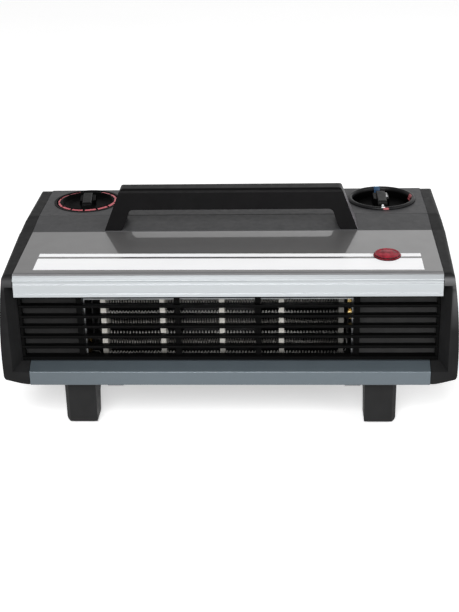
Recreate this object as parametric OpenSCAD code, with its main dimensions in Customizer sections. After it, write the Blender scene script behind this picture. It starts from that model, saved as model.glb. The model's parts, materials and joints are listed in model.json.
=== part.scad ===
// Table-top fan heater with two blowers, a carrying handle and two dials.
// Millimetres, +Z up, +X to the viewer's right, the air outlet faces -Y.
// The origin is on the floor under the middle of the body.

/* [Body] */
// Clear width between the two end caps
inner_w = 364; // [350:2:400]
// Depth of the body from front to back
body_d = 220; // [214:1:240]
// Height of the body's underside above the floor
ground_gap = 43.5; // [38:0.5:56]
// Height of the front, from the underside to the front top edge
front_h = 104.5; // [100:0.5:120]
// Wall thickness of the plastic shells
wall = 2.4; // [1.8:0.1:2.8]
// Gap left between neighbouring shells
joint_gap = 0.3; // [0.2:0.05:0.4]

/* [End caps] */
// Width of a cap at its top edge
cap_top_w = 7; // [6:0.5:9]
// Width of a cap at its widest, low on the side
cap_low_w = 15.6; // [12:0.2:18]
// Height above the underside at which a cap is widest
cap_wide_z = 21; // [15:1:30]
// How far a cap's underside rises towards its outer edge
cap_lift = 5.8; // [3:0.2:8]
// Width of the slanted recess wall beside the grille
cap_recess_w = 7.2; // [4:0.2:8]
// Height of the solid brow above that recess
cap_brow = 10.7; // [8:0.1:14]
// Width of the toe that runs in beside the lower panel
cap_toe = 7; // [4:0.5:10]
// Radius of a cap's upper outer edge
cap_round = 4; // [2:0.5:5]
// How far a cap widens from the front to the panel's back edge
cap_bulge = 3.9; // [2:0.1:5]

/* [Top] */
// Depth of the bright top panel
panel_d = 96; // [90:1:104]
// Rise of the bright panel towards the back
panel_rise = 3.3; // [1:0.1:5]
// Depth of the dark deck's front slope
slope_d = 35; // [28:1:40]
// Rise of that slope
slope_rise = 3.3; // [1:0.1:5]
// Distance from the deck's back edge to the back of the body
deck_tail = 14; // [12:0.5:16]

/* [Front] */
// Height of the bright trim bar
bar_h = 20; // [17:0.5:22]
// Height of the bar's bevelled upper face
bar_bevel = 4.6; // [3:0.2:6]
// Depth of the grille behind the front
grille_inset = 12; // [10:0.5:14]
// Number of louvre blades
louvre_count = 5; // [4:1:7]
// Thickness of a louvre blade
louvre_t = 2.8; // [2:0.1:3.4]
// Depth of a louvre blade
louvre_d = 6; // [4:0.5:7]
// Width of the upright ribs behind the blades
rib_w = 5; // [3:0.5:6]
// Height of the grille's top rail
top_rail = 6.1; // [4:0.1:8]
// Height of the grille's bottom rail
bottom_rail = 4; // [3:0.1:6]
// Height of the lower panel's upright face
sill_face = 13.2; // [10:0.2:16]
// Rise of the lower panel's sloped face
sill_rise = 5.8; // [4:0.2:8]
// Depth of the lower panel's sloped face
sill_d = 10; // [8:0.5:11]

/* [Handle] */
// Width of the handle at its feet
handle_w = 231; // [210:1:250]
// Width that the handle loses up to its top
handle_taper = 30; // [20:1:40]
// Height of the handle's top above the bright panel's back edge
handle_h = 37.2; // [34:0.2:45]
// Height of the grip bar
grip_h = 18.5; // [15:0.5:20]
// Depth of the grip bar
grip_d = 18; // [15:0.5:22]
// Width of a handle leg
leg_w = 14; // [11:0.5:17]
// How far the handle leans back
handle_lean = 8; // [4:0.5:12]

/* [Feet] */
// Distance of a foot's middle from the middle of the body
foot_x = 133; // [120:1:150]
// Width of a foot
foot_w = 28; // [22:0.5:34]
// Distance of a foot's front face behind the front
foot_inset = 10; // [8:0.5:20]
// Length of a foot from its front leg to its rear leg
foot_len = 186; // [160:1:192]
// Length of each leg's sole
sole_len = 20; // [16:0.5:28]
// Height of the rail that joins the two legs
foot_rail = 20; // [15:0.5:24]
// Chamfer on a foot's outer upright edge
foot_chamfer = 3.5; // [2:0.5:5]
// Thickness of a rubber pad
pad_t = 2; // [1.5:0.1:3]
// Width of a front clip under the lower panel
clip_w = 14; // [10:0.5:18]
// Height of a front clip
clip_h = 2.7; // [2:0.1:4]
// Gap between the left foot and the clip beside it
left_clip_gap = 12; // [4:1:24]
// Gap between the right foot and the clip beside it
right_clip_gap = 4; // [2:1:24]

/* [Dials] */
// Clear width between a dial and the end cap
dial_edge = 7.7; // [5:0.1:10]
// Distance of a dial's middle from the deck's back edge
dial_back = 34; // [34:0.5:36]
// Outer radius of a dial
dial_r = 32.3; // [30:0.1:32.5]
// Height of the right dial's raised rim above the deck
rim_h = 2.8; // [2:0.1:4]
// Width of that rim
rim_w = 4.6; // [4:0.1:5.5]
// Depth of a dial's bowl below the deck
bowl_depth = 9; // [7:0.5:11]
// Length of a knob's finger grip
fin_len = 36; // [30:1:42]
// Width of a knob's finger grip
fin_w = 9.5; // [7:0.5:11]
// Height of a finger grip above the deck
fin_top = 3.6; // [3:0.2:6]
// Width of the shoulders beside the grip's rear half
shoulder_w = 15; // [13:0.5:16]
// Radius of the dish in the left knob
dish_r = 24.5; // [22:0.5:25]
// Depth of that dish
dish_depth = 4; // [2:0.5:5]
// Radius of a dial spindle
spindle_r = 3; // [2.5:0.1:3.5]
// Radius of the pilot lens
lens_r = 11.8; // [10:0.1:13]
// Height of the pilot lens above the panel
lens_h = 5.5; // [4:0.1:7]
// Distance of the lens from the middle of the body
lens_x = 137.3; // [125:0.5:145]
// Distance of the lens behind the front
lens_y = 39.5; // [32:0.5:50]

/* [Fan] */
// Distance of the motor's middle from the middle of the body
fan_x = -9; // [-12:0.5:-6]
// Clear depth between the blowers and the back wall
fan_room = 15.2; // [12:0.2:20]
// Outer radius of an impeller
impeller_r = 35; // [32:0.5:36]
// Clear width between an impeller and the outer side of its case
inlet_room = 7.6; // [6:0.2:14]
// Number of blades on an impeller
blade_count = 24; // [18:1:30]
// Radius of the motor shaft
shaft_r = 3; // [2.5:0.1:3.5]
// Running clearance of a shaft in its bearing
run_gap = 0.05; // [0.02:0.01:0.08]
// Radius of the rotor
rotor_r = 13; // [11:0.5:14]
// Thickness of the laminated motor core
core_w = 20; // [16:0.5:24]
// Half of the space between the two blowers
motor_half = 31; // [29:0.5:33]

/* [Heater] */
// Clear width between the air duct and the thermostat
duct_gap = 2; // [1:0.5:4]
// Depth of the air duct that holds the heating coils
duct_d = 27; // [25:0.5:30]
// Thickness of the sheet metal
sheet = 1; // [0.8:0.1:1.4]
// Number of insulator posts
post_count = 5; // [4:1:6]
// Width of an insulator post
post_w = 4.5; // [3.5:0.1:6]
// Outer radius of a heating coil
coil_r = 3; // [2.5:0.1:3.2]
// Diameter of the heating wire
wire_d = 1.1; // [0.9:0.05:1.3]
// Number of curls in one row of coil
curls = 14; // [10:1:15]
// Distance between the front and the rear coils
coil_step = 8; // [7.5:0.1:9]

/* [Controls] */
// Width of the thermostat's base
thermostat_w = 28; // [24:1:32]
// Depth of the thermostat's base
thermostat_d = 18; // [14:1:22]
// Radius of the selector switch
switch_r = 17; // [14:0.5:20]
// Height of the bushing that seats a control under its dial
bushing_h = 4; // [3:0.5:5]
// Thickness of the thermostat's bracket plates
plate_t = 1.2; // [0.8:0.1:2]
// Reach of those plates in front of the spindle
plate_reach = 30; // [26:1:34]

/* [Back] */
// Number of intake slots in a column
slot_rows = 7; // [5:1:8]
// Number of columns of intake slots
slot_cols = 5; // [3:1:6]
// Height of an intake slot
slot_h = 4; // [3:0.2:5]
// Radius of the hole for the mains cord
cord_r = 3.6; // [3:0.1:4.5]

/* [Hidden] */
$fn = 64;
eps = 0.01;
half_w = inner_w / 2;
part_half = half_w - joint_gap;
z_base = ground_gap;
z_floor_top = z_base + wall;
z_top = z_base + front_h;
z_panel = z_top + panel_rise;
z_deck = z_panel + slope_rise;
deck_end = body_d - deck_tail;
crease_y = panel_d + slope_d;
z_bar = z_top - bar_h;
z_crease = z_base + sill_face;
z_sill = z_crease + sill_rise;
toe_d = grille_inset + 2;
beam_lift = 0.02;
lower_half = half_w - cap_toe - joint_gap;
rear_y = deck_end + 5;
skirt_z = z_deck - 15;

rail_top = z_sill + bottom_rail;
louvre_pitch = (z_bar - top_rail - rail_top + louvre_t) / (louvre_count + 1);

dial_y = deck_end - dial_back;
dial_x = half_w - dial_edge - dial_r;
bowl_floor = z_deck - bowl_depth;
bowl_t = 1.8;
bowl_r = dial_r - 2.4;
lip_h = 0.5;
ring_fall = 1.1;
spindle_len = 20;
control_drop = 6;
plate_h = 10;
switch_tag_pitch = 6;
switch_tag_half = 2.2;

duct_w = 2 * (dial_x + fan_x - thermostat_w / 2 - duct_gap);
duct_x0 = fan_x - duct_w / 2;
duct_x1 = fan_x + duct_w / 2;
duct_y0 = grille_inset + louvre_d + 2;
duct_y1 = duct_y0 + duct_d;
duct_z0 = z_sill - 5.5;
duct_z1 = z_bar - top_rail - 3.9;
row_low = 5.4;
row_shift = 8.1;
row_pitch = (duct_z1 - duct_z0 - 2 * row_low - row_shift - 2.9) / 2;
front_coil_y = duct_y0 + 5;
post_left = 17;
post_right = 10.2;
post_pitch = (duct_w - post_left - post_right) / (post_count - 1);
post_d = coil_step + 2 * coil_r + 3;
post_y = front_coil_y + coil_step / 2;
turn_r = coil_r - wire_d / 2;
rings_per_curl = 8;
bend_start = 1;
bend_reach = 2;
tag_reach = 3.4;
tag_half = 2.2;
lug_h = 3;

scroll_t = 1.4;
scroll_r0 = impeller_r + 4;
scroll_r1 = impeller_r + 15;
fan_y = rear_y - wall - fan_room - scroll_t - scroll_r1;
fan_z = z_floor_top + scroll_t + scroll_r1;
tongue_a = 200;
blower_w = duct_w / 2 - motor_half - 2;
inlet_r = impeller_r - 6;

core_half = 30;
core_low = 42;
window_x0 = 9;
window_x1 = 20;
window_z0 = -32;
window_z1 = -19;
stand_t = 1.6;
spacer_l = 9.2;
spacer_r = 3;
spacer_y = 25;
spacer_z = 15;
bearing_l = 9;
impeller_x = motor_half + 2.4;
impeller_w = blower_w + motor_half - impeller_x - inlet_room;

// Heating coils and their posts
post_xs = [for (k = [0:post_count - 1]) duct_x0 + post_left + k * post_pitch];
coil_x0 = post_xs[0] - post_w;
coil_x1 = post_xs[post_count - 1] + post_w;

// Upright ribs of the grille, beside the duct's walls and the gap between the blowers
rib_xs = [duct_x0 - rib_w / 2 - 0.5, fan_x - motor_half - 4, fan_x + motor_half + 4,
    duct_x1 + rib_w / 2 + 0.5];

// Sill that the lower panel and the toes of the caps share
sill_top = [[0, z_crease], [sill_d, z_sill], [toe_d, z_sill]];

// Floor, screws and back wall
pan_y0 = toe_d + joint_gap;
pan_y1 = rear_y - wall - joint_gap;
boss_h = 8;
screw_r = 1.6;
screw_boss = 12;
cover_z1 = skirt_z - joint_gap;
slot_margin = 14;
slot_w = (inner_w - 2 * slot_margin) / slot_cols - 8;
slot_pitch = (cover_z1 - z_base - 44) / (slot_rows - 1);
rear_screw_xs = [-part_half + 7, 0, part_half - 7];
grommet_x = part_half - 22;
grommet_z = z_floor_top + boss_h + cord_r + 4;

// Lens, handle and dials
bar_back = 5.7;
lens_slope = atan2(panel_rise, panel_d - bar_back);
handle_y = panel_d + joint_gap + 0.7;
handle_z = z_panel + handle_h;
groove = 0.7;
edge_cut = 1.2;
knob_bore = 7;
skirt_gap = 0.6;
knob_z = bowl_floor + skirt_gap;
spindle_z = knob_z + knob_bore - spindle_len;
thermostat_angle = 6;
selector_angle = 0;

// Colours, as the photograph shows them
black_c = [0.09, 0.09, 0.09];
charcoal_c = [0.27, 0.27, 0.28];
silver_c = [0.56, 0.56, 0.56];
bright_c = [0.78, 0.79, 0.80];
slate_c = [0.40, 0.45, 0.48];
foot_c = [0.19, 0.19, 0.19];
steel_c = [0.62, 0.63, 0.65];
ceramic_c = [0.90, 0.89, 0.85];
brass_c = [0.75, 0.58, 0.28];
copper_c = [0.62, 0.32, 0.16];
wire_c = [0.60, 0.58, 0.56];
red_c = [0.50, 0.03, 0.05];
amber_c = [0.93, 0.60, 0.36];
rubber_c = [0.07, 0.07, 0.07];

// Distance behind the front face, as a Y coordinate
function fy(d) = d - body_d / 2;
function unit(v) = v / norm(v);

// Points of the arc of radius r that rounds the corner at q
function corner(p, q, s, r, steps = 5) =
    let (a = unit(p - q), b = unit(s - q), half = acos(a * b) / 2,
        c = q + unit(a + b) * r / sin(half), v = q + a * r / tan(half) - c,
        turn = (180 - 2 * half) * sign(cross(-a, b)))
    [for (k = [0:steps]) let (t = turn * k / steps)
        c + [v.x * cos(t) - v.y * sin(t), v.x * sin(t) + v.y * cos(t)]];

// Outline through [x, y, radius] points, each corner rounded by its radius
function rounded(pts) =
    let (n = len(pts))
    [for (i = [0:n - 1])
        let (p = pts[(i + n - 1) % n], q = pts[i], s = pts[(i + 1) % n])
        each q[2] == 0 ? [[q.x, q.y]] : corner([p.x, p.y], [q.x, q.y], [s.x, s.y], q[2])];

// Moves a [distance behind the front, height] outline to Y and Z
function placed(pts) = [for (p = pts) [fy(p.x), p.y]];

// Extrudes a Y-Z outline from x0 to x1
module span_x(x0, x1) translate([x0, 0, 0]) rotate([90, 0, 90]) linear_extrude(x1 - x0) children();

// Extrudes an X-Z outline from y0 to y1
module span_y(y0, y1) translate([0, y1, 0]) rotate([90, 0, 0]) linear_extrude(y1 - y0) children();

// A cylinder along X from x0 to x1
module rod_x(x0, x1, r) translate([x0, 0, 0]) rotate([0, 90, 0]) cylinder(r = r, h = x1 - x0);

module block(lo, hi) translate(lo) cube(hi - lo);

// Half width of the body's side at height z
function side_x(z) =
    let (wide_z = z_base + cap_wide_z)
    half_w + cap_low_w - (cap_low_w - cap_top_w) * pow((z - wide_z) / (z_deck - wide_z), 2);

// Front view of an end cap's outer side, drawn in by inset and moved out by out
function cap_front(inset, out) =
    let (foot_z = z_base + cap_lift, n = 12, low = foot_z + 3, high = z_deck + 1)
    rounded(concat(
        [[half_w - cap_toe, z_base + inset, 0], [side_x(foot_z) + out - 1 - inset, foot_z + inset, 2.5]],
        [for (k = [0:n]) let (z = low + (high - low) * k / n) [side_x(z) + out - inset, z, 0]],
        [[half_w - cap_toe, high, 0]]));

// Side view of an end cap, drawn in by inset
function cap_side(inset) =
    let (b = body_d - inset)
    rounded([[inset, z_base + inset, 3], [inset, z_top - inset, 4], [panel_d, z_panel - inset, 0],
        [crease_y, z_deck - inset, 0], [b - 8, z_deck - inset, 13], [b, z_base + 42, 20],
        [b, z_base + 24, 20], [b - 5, z_base + inset, 10]]);

// Turns the front stretch of a cap outwards about the front end of its seam
module turned_out() translate([half_w, fy(0), 0]) rotate([0, 0, -atan2(cap_bulge, panel_d)])
    translate([-half_w, -fy(0), 0]) children();

// Long beam with a rounded outer edge, a hair above one stretch of a cap's top
module cap_beam(d, z, slope, out) {
    inner = half_w - cap_toe - 1;
    outer = half_w + 80;
    low = -front_h - 20;
    bend = -40;
    translate([0, fy(d), z + beam_lift]) rotate([slope, 0, 0]) span_y(-body_d, body_d)
        polygon(rounded([[inner, low, 0], [outer, low, 0], [outer, bend, 0],
            [side_x(z + bend) + out + 1.7, bend, 0], [side_x(z) + out, 0, cap_round], [inner, 0, 0]]));
}

module cap_form(inset) intersection() {
    span_y(fy(0), fy(body_d)) polygon(cap_front(inset, cap_bulge));
    turned_out() span_y(-body_d, body_d) {
        polygon(cap_front(inset, 0));
        translate([0, z_base + inset]) square([half_w - cap_toe + eps, z_deck + 1 - z_base - inset]);
    }
    span_x(0, half_w + cap_low_w + cap_bulge + 1) polygon(placed(cap_side(inset)));
}

module cap_shell() intersection() {
    cap_form(0);
    union() {
        intersection() {
            turned_out() cap_beam(0, z_top, atan2(panel_rise, panel_d), 0);
            block([0, fy(0), 0], [half_w + 40, fy(panel_d), z_deck + 10]);
        }
        intersection() {
            cap_beam(panel_d, z_panel, atan2(slope_rise, slope_d), cap_bulge);
            cap_beam(crease_y, z_deck, 0, cap_bulge);
            block([0, fy(panel_d), 0], [half_w + 40, fy(body_d), z_deck + 10]);
        }
    }
}

module end_cap() {
    recess_x = half_w + cap_recess_w;
    back_y = grille_inset + louvre_d + wall;
    difference() {
        cap_shell();
        span_x(0, half_w) polygon(placed(concat([[-1, z_crease]], sill_top,
            [[toe_d, z_base - 1], [body_d + 1, z_base - 1], [body_d + 1, z_deck + 1], [-1, z_deck + 1]])));
        intersection() {
            translate([0, 0, z_base]) linear_extrude(front_h - cap_brow)
                polygon([[half_w - 1, fy(-1)], [recess_x, fy(-1)], [recess_x, fy(0)],
                    [half_w, fy(grille_inset)], [half_w - 1, fy(grille_inset)]]);
            span_x(half_w - 2, recess_x + 1) polygon(placed(concat([[-2, z_crease]], sill_top,
                [[toe_d, z_top + 1], [-2, z_top + 1]])));
        }
        intersection() {
            cap_form(wall);
            block([half_w - 1, fy(back_y), z_base], [side_x(z_base) + cap_low_w, fy(body_d), z_deck]);
        }
    }
}

module left_end_cap() color(black_c) mirror([1, 0, 0]) end_cap();
module right_end_cap() color(black_c) end_cap();

// Floor of the body, with upturned edges and bosses over the feet
module base_pan() color(black_c) difference() {
    union() {
        block([-part_half, fy(pan_y0), z_base], [part_half, fy(pan_y1), z_floor_top]);
        for (d = [pan_y0, pan_y1 - wall])
            block([-part_half, fy(d), z_base], [part_half, fy(d + wall), z_floor_top + boss_h]);
        foot_screw_places() translate([0, 0, z_base]) cylinder(r = 4.5, h = wall + boss_h);
    }
    foot_screw_places() translate([0, 0, z_base - 1]) cylinder(r = screw_r, h = wall + boss_h + 2);
    rear_screw_places() rotate([90, 0, 0]) cylinder(r = screw_r, h = screw_boss);
    for (side = [-1, 1], k = [-3:3])
        block([side * 68 - 22, fy(fan_y + k * 9 - 2), z_base - 1],
            [side * 68 + 22, fy(fan_y + k * 9 + 2), z_floor_top + 1]);
}

// Places of the four screws that hold the feet
module foot_screw_places()
    for (side = [-1, 1], d = [foot_inset + sole_len + 12, foot_inset + foot_len - sole_len - 12])
        translate([side * foot_x, fy(d), 0]) children();

// Back wall with columns of intake slots and the hole for the cord
module rear_cover() color(charcoal_c) difference() {
    union() {
        block([-part_half, fy(rear_y - wall), z_base], [part_half, fy(rear_y), cover_z1]);
        for (i = [0:slot_cols - 1], j = [0:slot_rows - 1])
            slot_at(i, j) span_x(-slot_w / 2, slot_w / 2)
                polygon([[-eps, slot_h / 2 + 2.2], [2.6, slot_h / 2 - 0.6], [2.6, slot_h / 2 - 1.8],
                    [-eps, slot_h / 2]]);
    }
    for (i = [0:slot_cols - 1], j = [0:slot_rows - 1])
        slot_at(i, j) block([-slot_w / 2, -wall - 1, -slot_h / 2], [slot_w / 2, 0.2, slot_h / 2]);
    translate([grommet_x, fy(rear_y) + 1, grommet_z]) rotate([90, 0, 0])
        cylinder(r = cord_r + 2.4, h = wall + 2);
    rear_screw_places() rotate([90, 0, 0]) translate([0, 0, -1]) cylinder(r = screw_r, h = wall + 2);
}

// Middle of an intake slot, on the outer face of the back wall
module slot_at(i, j)
    translate([(i - (slot_cols - 1) / 2) * (inner_w - 2 * slot_margin) / slot_cols, fy(rear_y),
        z_base + 32 + j * slot_pitch]) children();

// Places of the six screws in the back wall
module rear_screw_places()
    for (x = rear_screw_xs, z = [z_base + 7, cover_z1 - 5])
        translate([x, fy(rear_y), z]) children();

// Dark deck behind the bright panel, wrapped down at the back
module rear_deck() color(charcoal_c) difference() {
    union() {
        span_x(-part_half, part_half) polygon(placed(rounded([
            [panel_d + joint_gap, z_panel - edge_cut, 0],
            [panel_d + joint_gap + edge_cut, z_panel + edge_cut * slope_rise / slope_d, 0],
            [crease_y - groove, z_deck - groove * slope_rise / slope_d, 0], [crease_y, z_deck - groove, 0],
            [crease_y + groove, z_deck, 0], [deck_end, z_deck, 2.5],
            [rear_y, skirt_z, 0], [rear_y - wall, skirt_z, 0], [deck_end - wall, z_deck - wall, 1],
            [crease_y, z_deck - wall, 0], [panel_d + joint_gap, z_panel - wall - 4, 0]])));
        for (x = rear_screw_xs)
            block([x - 4, fy(rear_y - screw_boss), cover_z1 - 9],
                [x + 4, fy(rear_y - wall - joint_gap), skirt_z + 6]);
    }
    rear_screw_places() rotate([90, 0, 0]) cylinder(r = screw_r, h = screw_boss + 1);
    for (side = [-1, 1]) translate([side * dial_x, fy(dial_y), z_deck - wall - 2])
        cylinder(r = dial_r - 0.8, h = wall + 4);
}

// Bright sloping panel in front of the deck
module top_panel() color(silver_c) difference() {
    span_x(-part_half, part_half) polygon(placed([
        [bar_back, z_top], [panel_d, z_panel], [panel_d, z_panel - wall - 4],
        [panel_d - wall, z_panel - wall - 4], [panel_d - wall, z_panel - wall], [bar_back, z_top - wall]]));
    at_lens() translate([0, 0, -wall - 1]) cylinder(r = lens_r - 2, h = wall + 2);
}

// Moves a piece to the lens's seat on the bright panel
module at_lens()
    translate([lens_x, fy(lens_y), z_top + (lens_y - bar_back) * tan(lens_slope)])
        rotate([lens_slope, 0, 0]) children();

// Extruded trim bar with a bevelled top, a groove and a lip
module trim_bar() color(bright_c) {
    z = z_top - bar_bevel;
    span_x(-part_half, part_half) polygon(placed([
        [3.4, z_top], [0, z], [0, z - 1], [1.1, z - 1.6], [1.1, z - 3.6], [0.5, z - 4.4],
        [0.5, z_bar + 3.2], [0, z_bar + 2.6], [0, z_bar], [6, z_bar], [6, z_bar + 2],
        [3, z_bar + 3], [3, z - 0.6], [5, z_top - 2.2], [bar_back - joint_gap, z_top - 2.2],
        [bar_back - joint_gap, z_top]]));
}

// Black grille: blunt-nosed louvre blades tied by upright ribs
module front_grille() color(black_c) {
    y0 = grille_inset;
    y1 = grille_inset + louvre_d;
    span_x(-part_half, part_half) {
        polygon(placed([[y0, z_sill + eps], [y1, z_sill + eps], [y1, rail_top], [y0, rail_top - 0.8]]));
        polygon(placed([[y0, z_bar - top_rail], [y1, z_bar - top_rail], [y1, z_bar - joint_gap],
            [y0, z_bar - joint_gap]]));
        for (k = [1:louvre_count]) {
            z = rail_top + k * louvre_pitch - louvre_t;
            polygon(placed(rounded([[y0, z, 0.9], [y1, z, 0.3], [y1, z + louvre_t, 0.3],
                [y0, z + louvre_t, 0.9]])));
        }
    }
    for (side = [-1, 1]) translate([side * (part_half - wall / 2), 0, 0])
        block([-wall / 2, fy(y0 + 1), z_sill + eps], [wall / 2, fy(y1), z_bar - joint_gap]);
    for (x = rib_xs)
        block([x - rib_w / 2, fy(y0 + 3), z_sill + eps], [x + rib_w / 2, fy(y1), z_bar - joint_gap]);
}

// Folded panel under the grille: upright face, sloped face and returns
module lower_panel() color(slate_c)
    span_x(-lower_half, lower_half) polygon(placed(rounded([
        [0, z_base, 1.5], [0, z_crease, 0], [sill_d, z_sill, 0], [toe_d, z_sill, 0],
        [toe_d, z_sill - wall, 0], [sill_d + 0.6, z_sill - wall, 0], [wall, z_crease - 1.4, 0],
        [wall, z_base + wall, 0], [toe_d, z_base + wall, 0], [toe_d, z_base, 0]])));

// Plates that close the ends of the grille beside the duct
module baffle(x0, x1) color(charcoal_c) {
    y = duct_y0;
    fold = duct_d / 3;
    block([x0, fy(y), duct_z0], [x1, fy(y + sheet), z_bar - 1]);
    block([x0, fy(y), duct_z0], [x1, fy(y + fold), duct_z0 + sheet]);
}
module left_baffle() baffle(-part_half, duct_x0 - joint_gap);
module right_baffle() baffle(duct_x1 + joint_gap, part_half);

// Fixed carrying handle: a tapered arch that leans back and stands on the deck
function arch_half(z) = handle_w / 2 - handle_taper / 2 * (z - z_panel) / handle_h;
module handle() color(black_c) difference() {
    intersection() {
        span_y(fy(handle_y), fy(handle_y + 40)) difference() {
            polygon(rounded([[-arch_half(z_panel - 4), z_panel - 4, 0], [-arch_half(handle_z), handle_z, 4],
                [arch_half(handle_z), handle_z, 4], [arch_half(z_panel - 4), z_panel - 4, 0]]));
            polygon(rounded([[-arch_half(z_panel - 5) + leg_w, z_panel - 5, 0],
                [-arch_half(z_panel + 4) + leg_w + 3, z_panel + 5, 8],
                [-arch_half(handle_z) + leg_w - 6, handle_z - grip_h, 5],
                [arch_half(handle_z) - leg_w + 6, handle_z - grip_h, 5],
                [arch_half(z_panel + 4) - leg_w - 3, z_panel + 5, 8],
                [arch_half(z_panel - 5) - leg_w, z_panel - 5, 0]]));
        }
        span_x(-handle_w, handle_w) polygon(placed(rounded([
            [handle_y, z_panel - 5, 0], [handle_y + handle_lean, handle_z, 4],
            [handle_y + handle_lean + grip_d, handle_z, 4],
            [handle_y + handle_lean + grip_d, handle_z - grip_h, 3],
            [handle_y + slope_d - 4, z_panel - 5, 0]])));
    }
    span_x(-handle_w, handle_w) polygon(placed([[0, z_panel], [panel_d + joint_gap, z_panel],
        [crease_y, z_deck], [body_d, z_deck], [body_d, z_base], [0, z_base]]));
}

// Foot: a front and a rear leg joined by a rail, chamfered outside
module foot() {
    y0 = foot_inset;
    y1 = foot_inset + foot_len;
    intersection() {
        span_x(foot_x - foot_w / 2, foot_x + foot_w / 2) polygon(placed(rounded([
            [y0, pad_t, 0], [y0, z_base, 0], [y1, z_base, 0], [y1, pad_t, 0], [y1 - sole_len, pad_t, 0],
            [y1 - sole_len - 6, z_base - foot_rail, 6], [y0 + sole_len + 6, z_base - foot_rail, 6],
            [y0 + sole_len, pad_t, 0]])));
        linear_extrude(z_base) polygon([
            [foot_x - foot_w / 2, fy(y0)], [foot_x + foot_w / 2 - foot_chamfer, fy(y0)],
            [foot_x + foot_w / 2, fy(y0 + foot_chamfer)], [foot_x + foot_w / 2, fy(y1 - foot_chamfer)],
            [foot_x + foot_w / 2 - foot_chamfer, fy(y1)], [foot_x - foot_w / 2, fy(y1)]]);
        span_y(fy(y0), fy(y1)) polygon(rounded([
            [foot_x - foot_w / 2, pad_t, 1], [foot_x + foot_w / 2, pad_t, 3.5],
            [foot_x + foot_w / 2, z_base, 0], [foot_x - foot_w / 2, z_base, 0]]));
    }
}
module drilled_foot() difference() {
    foot();
    foot_screw_places() translate([0, 0, z_base - foot_rail - 1]) cylinder(r = screw_r, h = foot_rail + 2);
    foot_screw_places() translate([0, 0, z_base - foot_rail - 1]) cylinder(r = 4, h = foot_rail - 4);
}
module left_foot() color(foot_c) mirror([1, 0, 0]) drilled_foot();
module right_foot() color(foot_c) drilled_foot();

// Rubber pads under the four soles
module foot_pads() color(rubber_c)
    for (side = [-1, 1], d = [foot_inset + sole_len / 2, foot_inset + foot_len - sole_len / 2])
        translate([side * (foot_x - 1), fy(d), 0]) block([-foot_w / 2 + 4, -sole_len / 2 + 3, 0],
            [foot_w / 2 - 4, sole_len / 2 - 3, pad_t]);

// Two clips that hold the lower panel's bottom return
module front_clips() color(black_c)
    for (clip = [[-1, left_clip_gap], [1, right_clip_gap]])
        let (x = clip[0] * (foot_x - (clip_w + foot_w) / 2 - clip[1]))
        block([x - clip_w / 2, fy(5), z_base - clip_h], [x + clip_w / 2, fy(toe_d + 3), z_base]);

// Fixed bowl of a dial, sunk in the deck: its underside, then the outline of its rim and inside
module dial_bowl(side, inside) color(black_c)
    translate([side * dial_x, fy(dial_y), 0]) rotate_extrude() polygon(concat([
        [spindle_r + run_gap, bowl_floor - bowl_t], [dial_r - 6, bowl_floor - bowl_t],
        [dial_r - 1.1, z_deck - 3.4], [dial_r - 1.1, z_deck], [dial_r, z_deck]],
        inside, [[spindle_r + run_gap, bowl_floor]]));

// The left bowl's rim lies nearly flush with the deck
module left_dial_bowl() dial_bowl(-1, [[dial_r, z_deck + lip_h - 0.2], [dial_r - 0.3, z_deck + lip_h],
    [bowl_r + 0.3, z_deck + lip_h], [bowl_r, z_deck + lip_h - 0.3], [bowl_r, z_deck - 3],
    [dial_r - 6.5, bowl_floor]]);

// The right bowl has a raised, rounded rim
module right_dial_bowl() {
    r = rim_w / 2;
    dial_bowl(1, concat(
        [for (k = [0:5]) let (a = 15 + 25 * k)
            [dial_r - r + r * cos(a), z_deck + rim_h - r * (1 - sin(a))]],
        [[dial_r - rim_w - 0.4, z_deck - 1], [dial_r - 6.8, bowl_floor]]));
}

// Finger grip of a knob: tapered sides, rounded ends and low shoulders at the rear, turned by a
module grip(base_z, a) {
    top_z = z_deck + fin_top;
    side = fin_w / 2;
    end = fin_len / 2;
    out = shoulder_w / 2;
    rotate([0, 0, a]) {
        intersection() {
            span_y(-fin_len, fin_len) polygon(rounded([
                [-side - 1.5, base_z, 0], [-side, base_z + 3, 4], [-side + 0.6, top_z, 1.2],
                [side - 0.6, top_z, 1.2], [side, base_z + 3, 4], [side + 1.5, base_z, 0]]));
            span_x(-fin_w, fin_w) polygon(rounded([
                [-end, base_z, 0], [-end + 2, top_z, 3], [end - 2, top_z, 3], [end, base_z, 0]]));
        }
        intersection() {
            span_y(-end, end) polygon(rounded([
                [-out - 0.5, base_z, 0], [-out, z_deck + 0.6, 1], [out, z_deck + 0.6, 1],
                [out + 0.5, base_z, 0]]));
            translate([0, 0, base_z]) linear_extrude(fin_len) polygon(rounded([
                [-out - 1, end - 1, 3], [-out - 1, -1, 5], [out + 1, -1, 5], [out + 1, end - 1, 3]]));
        }
    }
}

// Knob turned from the outline skirt, with a finger grip and a blind hole for its spindle
module knob(side, skirt, grip_z, a)
    translate([side * dial_x, fy(dial_y), 0]) difference() {
        union() {
            rotate_extrude() polygon(skirt);
            grip(grip_z - eps, a);
        }
        translate([0, 0, knob_z - 1]) cylinder(r = spindle_r, h = knob_bore + 1);
    }

// The left knob's wide scale ring slopes outwards, round a dish for the fingers
module thermostat_knob() color(black_c) {
    r = bowl_r - skirt_gap;
    ring_z = z_deck + 1;
    dish_z = ring_z - dish_depth;
    knob(-1, [[0, knob_z], [dish_r - 6, knob_z], [r - 3, ring_z - 4], [r, ring_z - 3],
        [r, ring_z - ring_fall - 0.4], [r - 0.4, ring_z - ring_fall], [dish_r, ring_z],
        [dish_r - 2.5, dish_z + 0.8], [dish_r - 6, dish_z], [0, dish_z]], dish_z, thermostat_angle);
}

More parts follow.
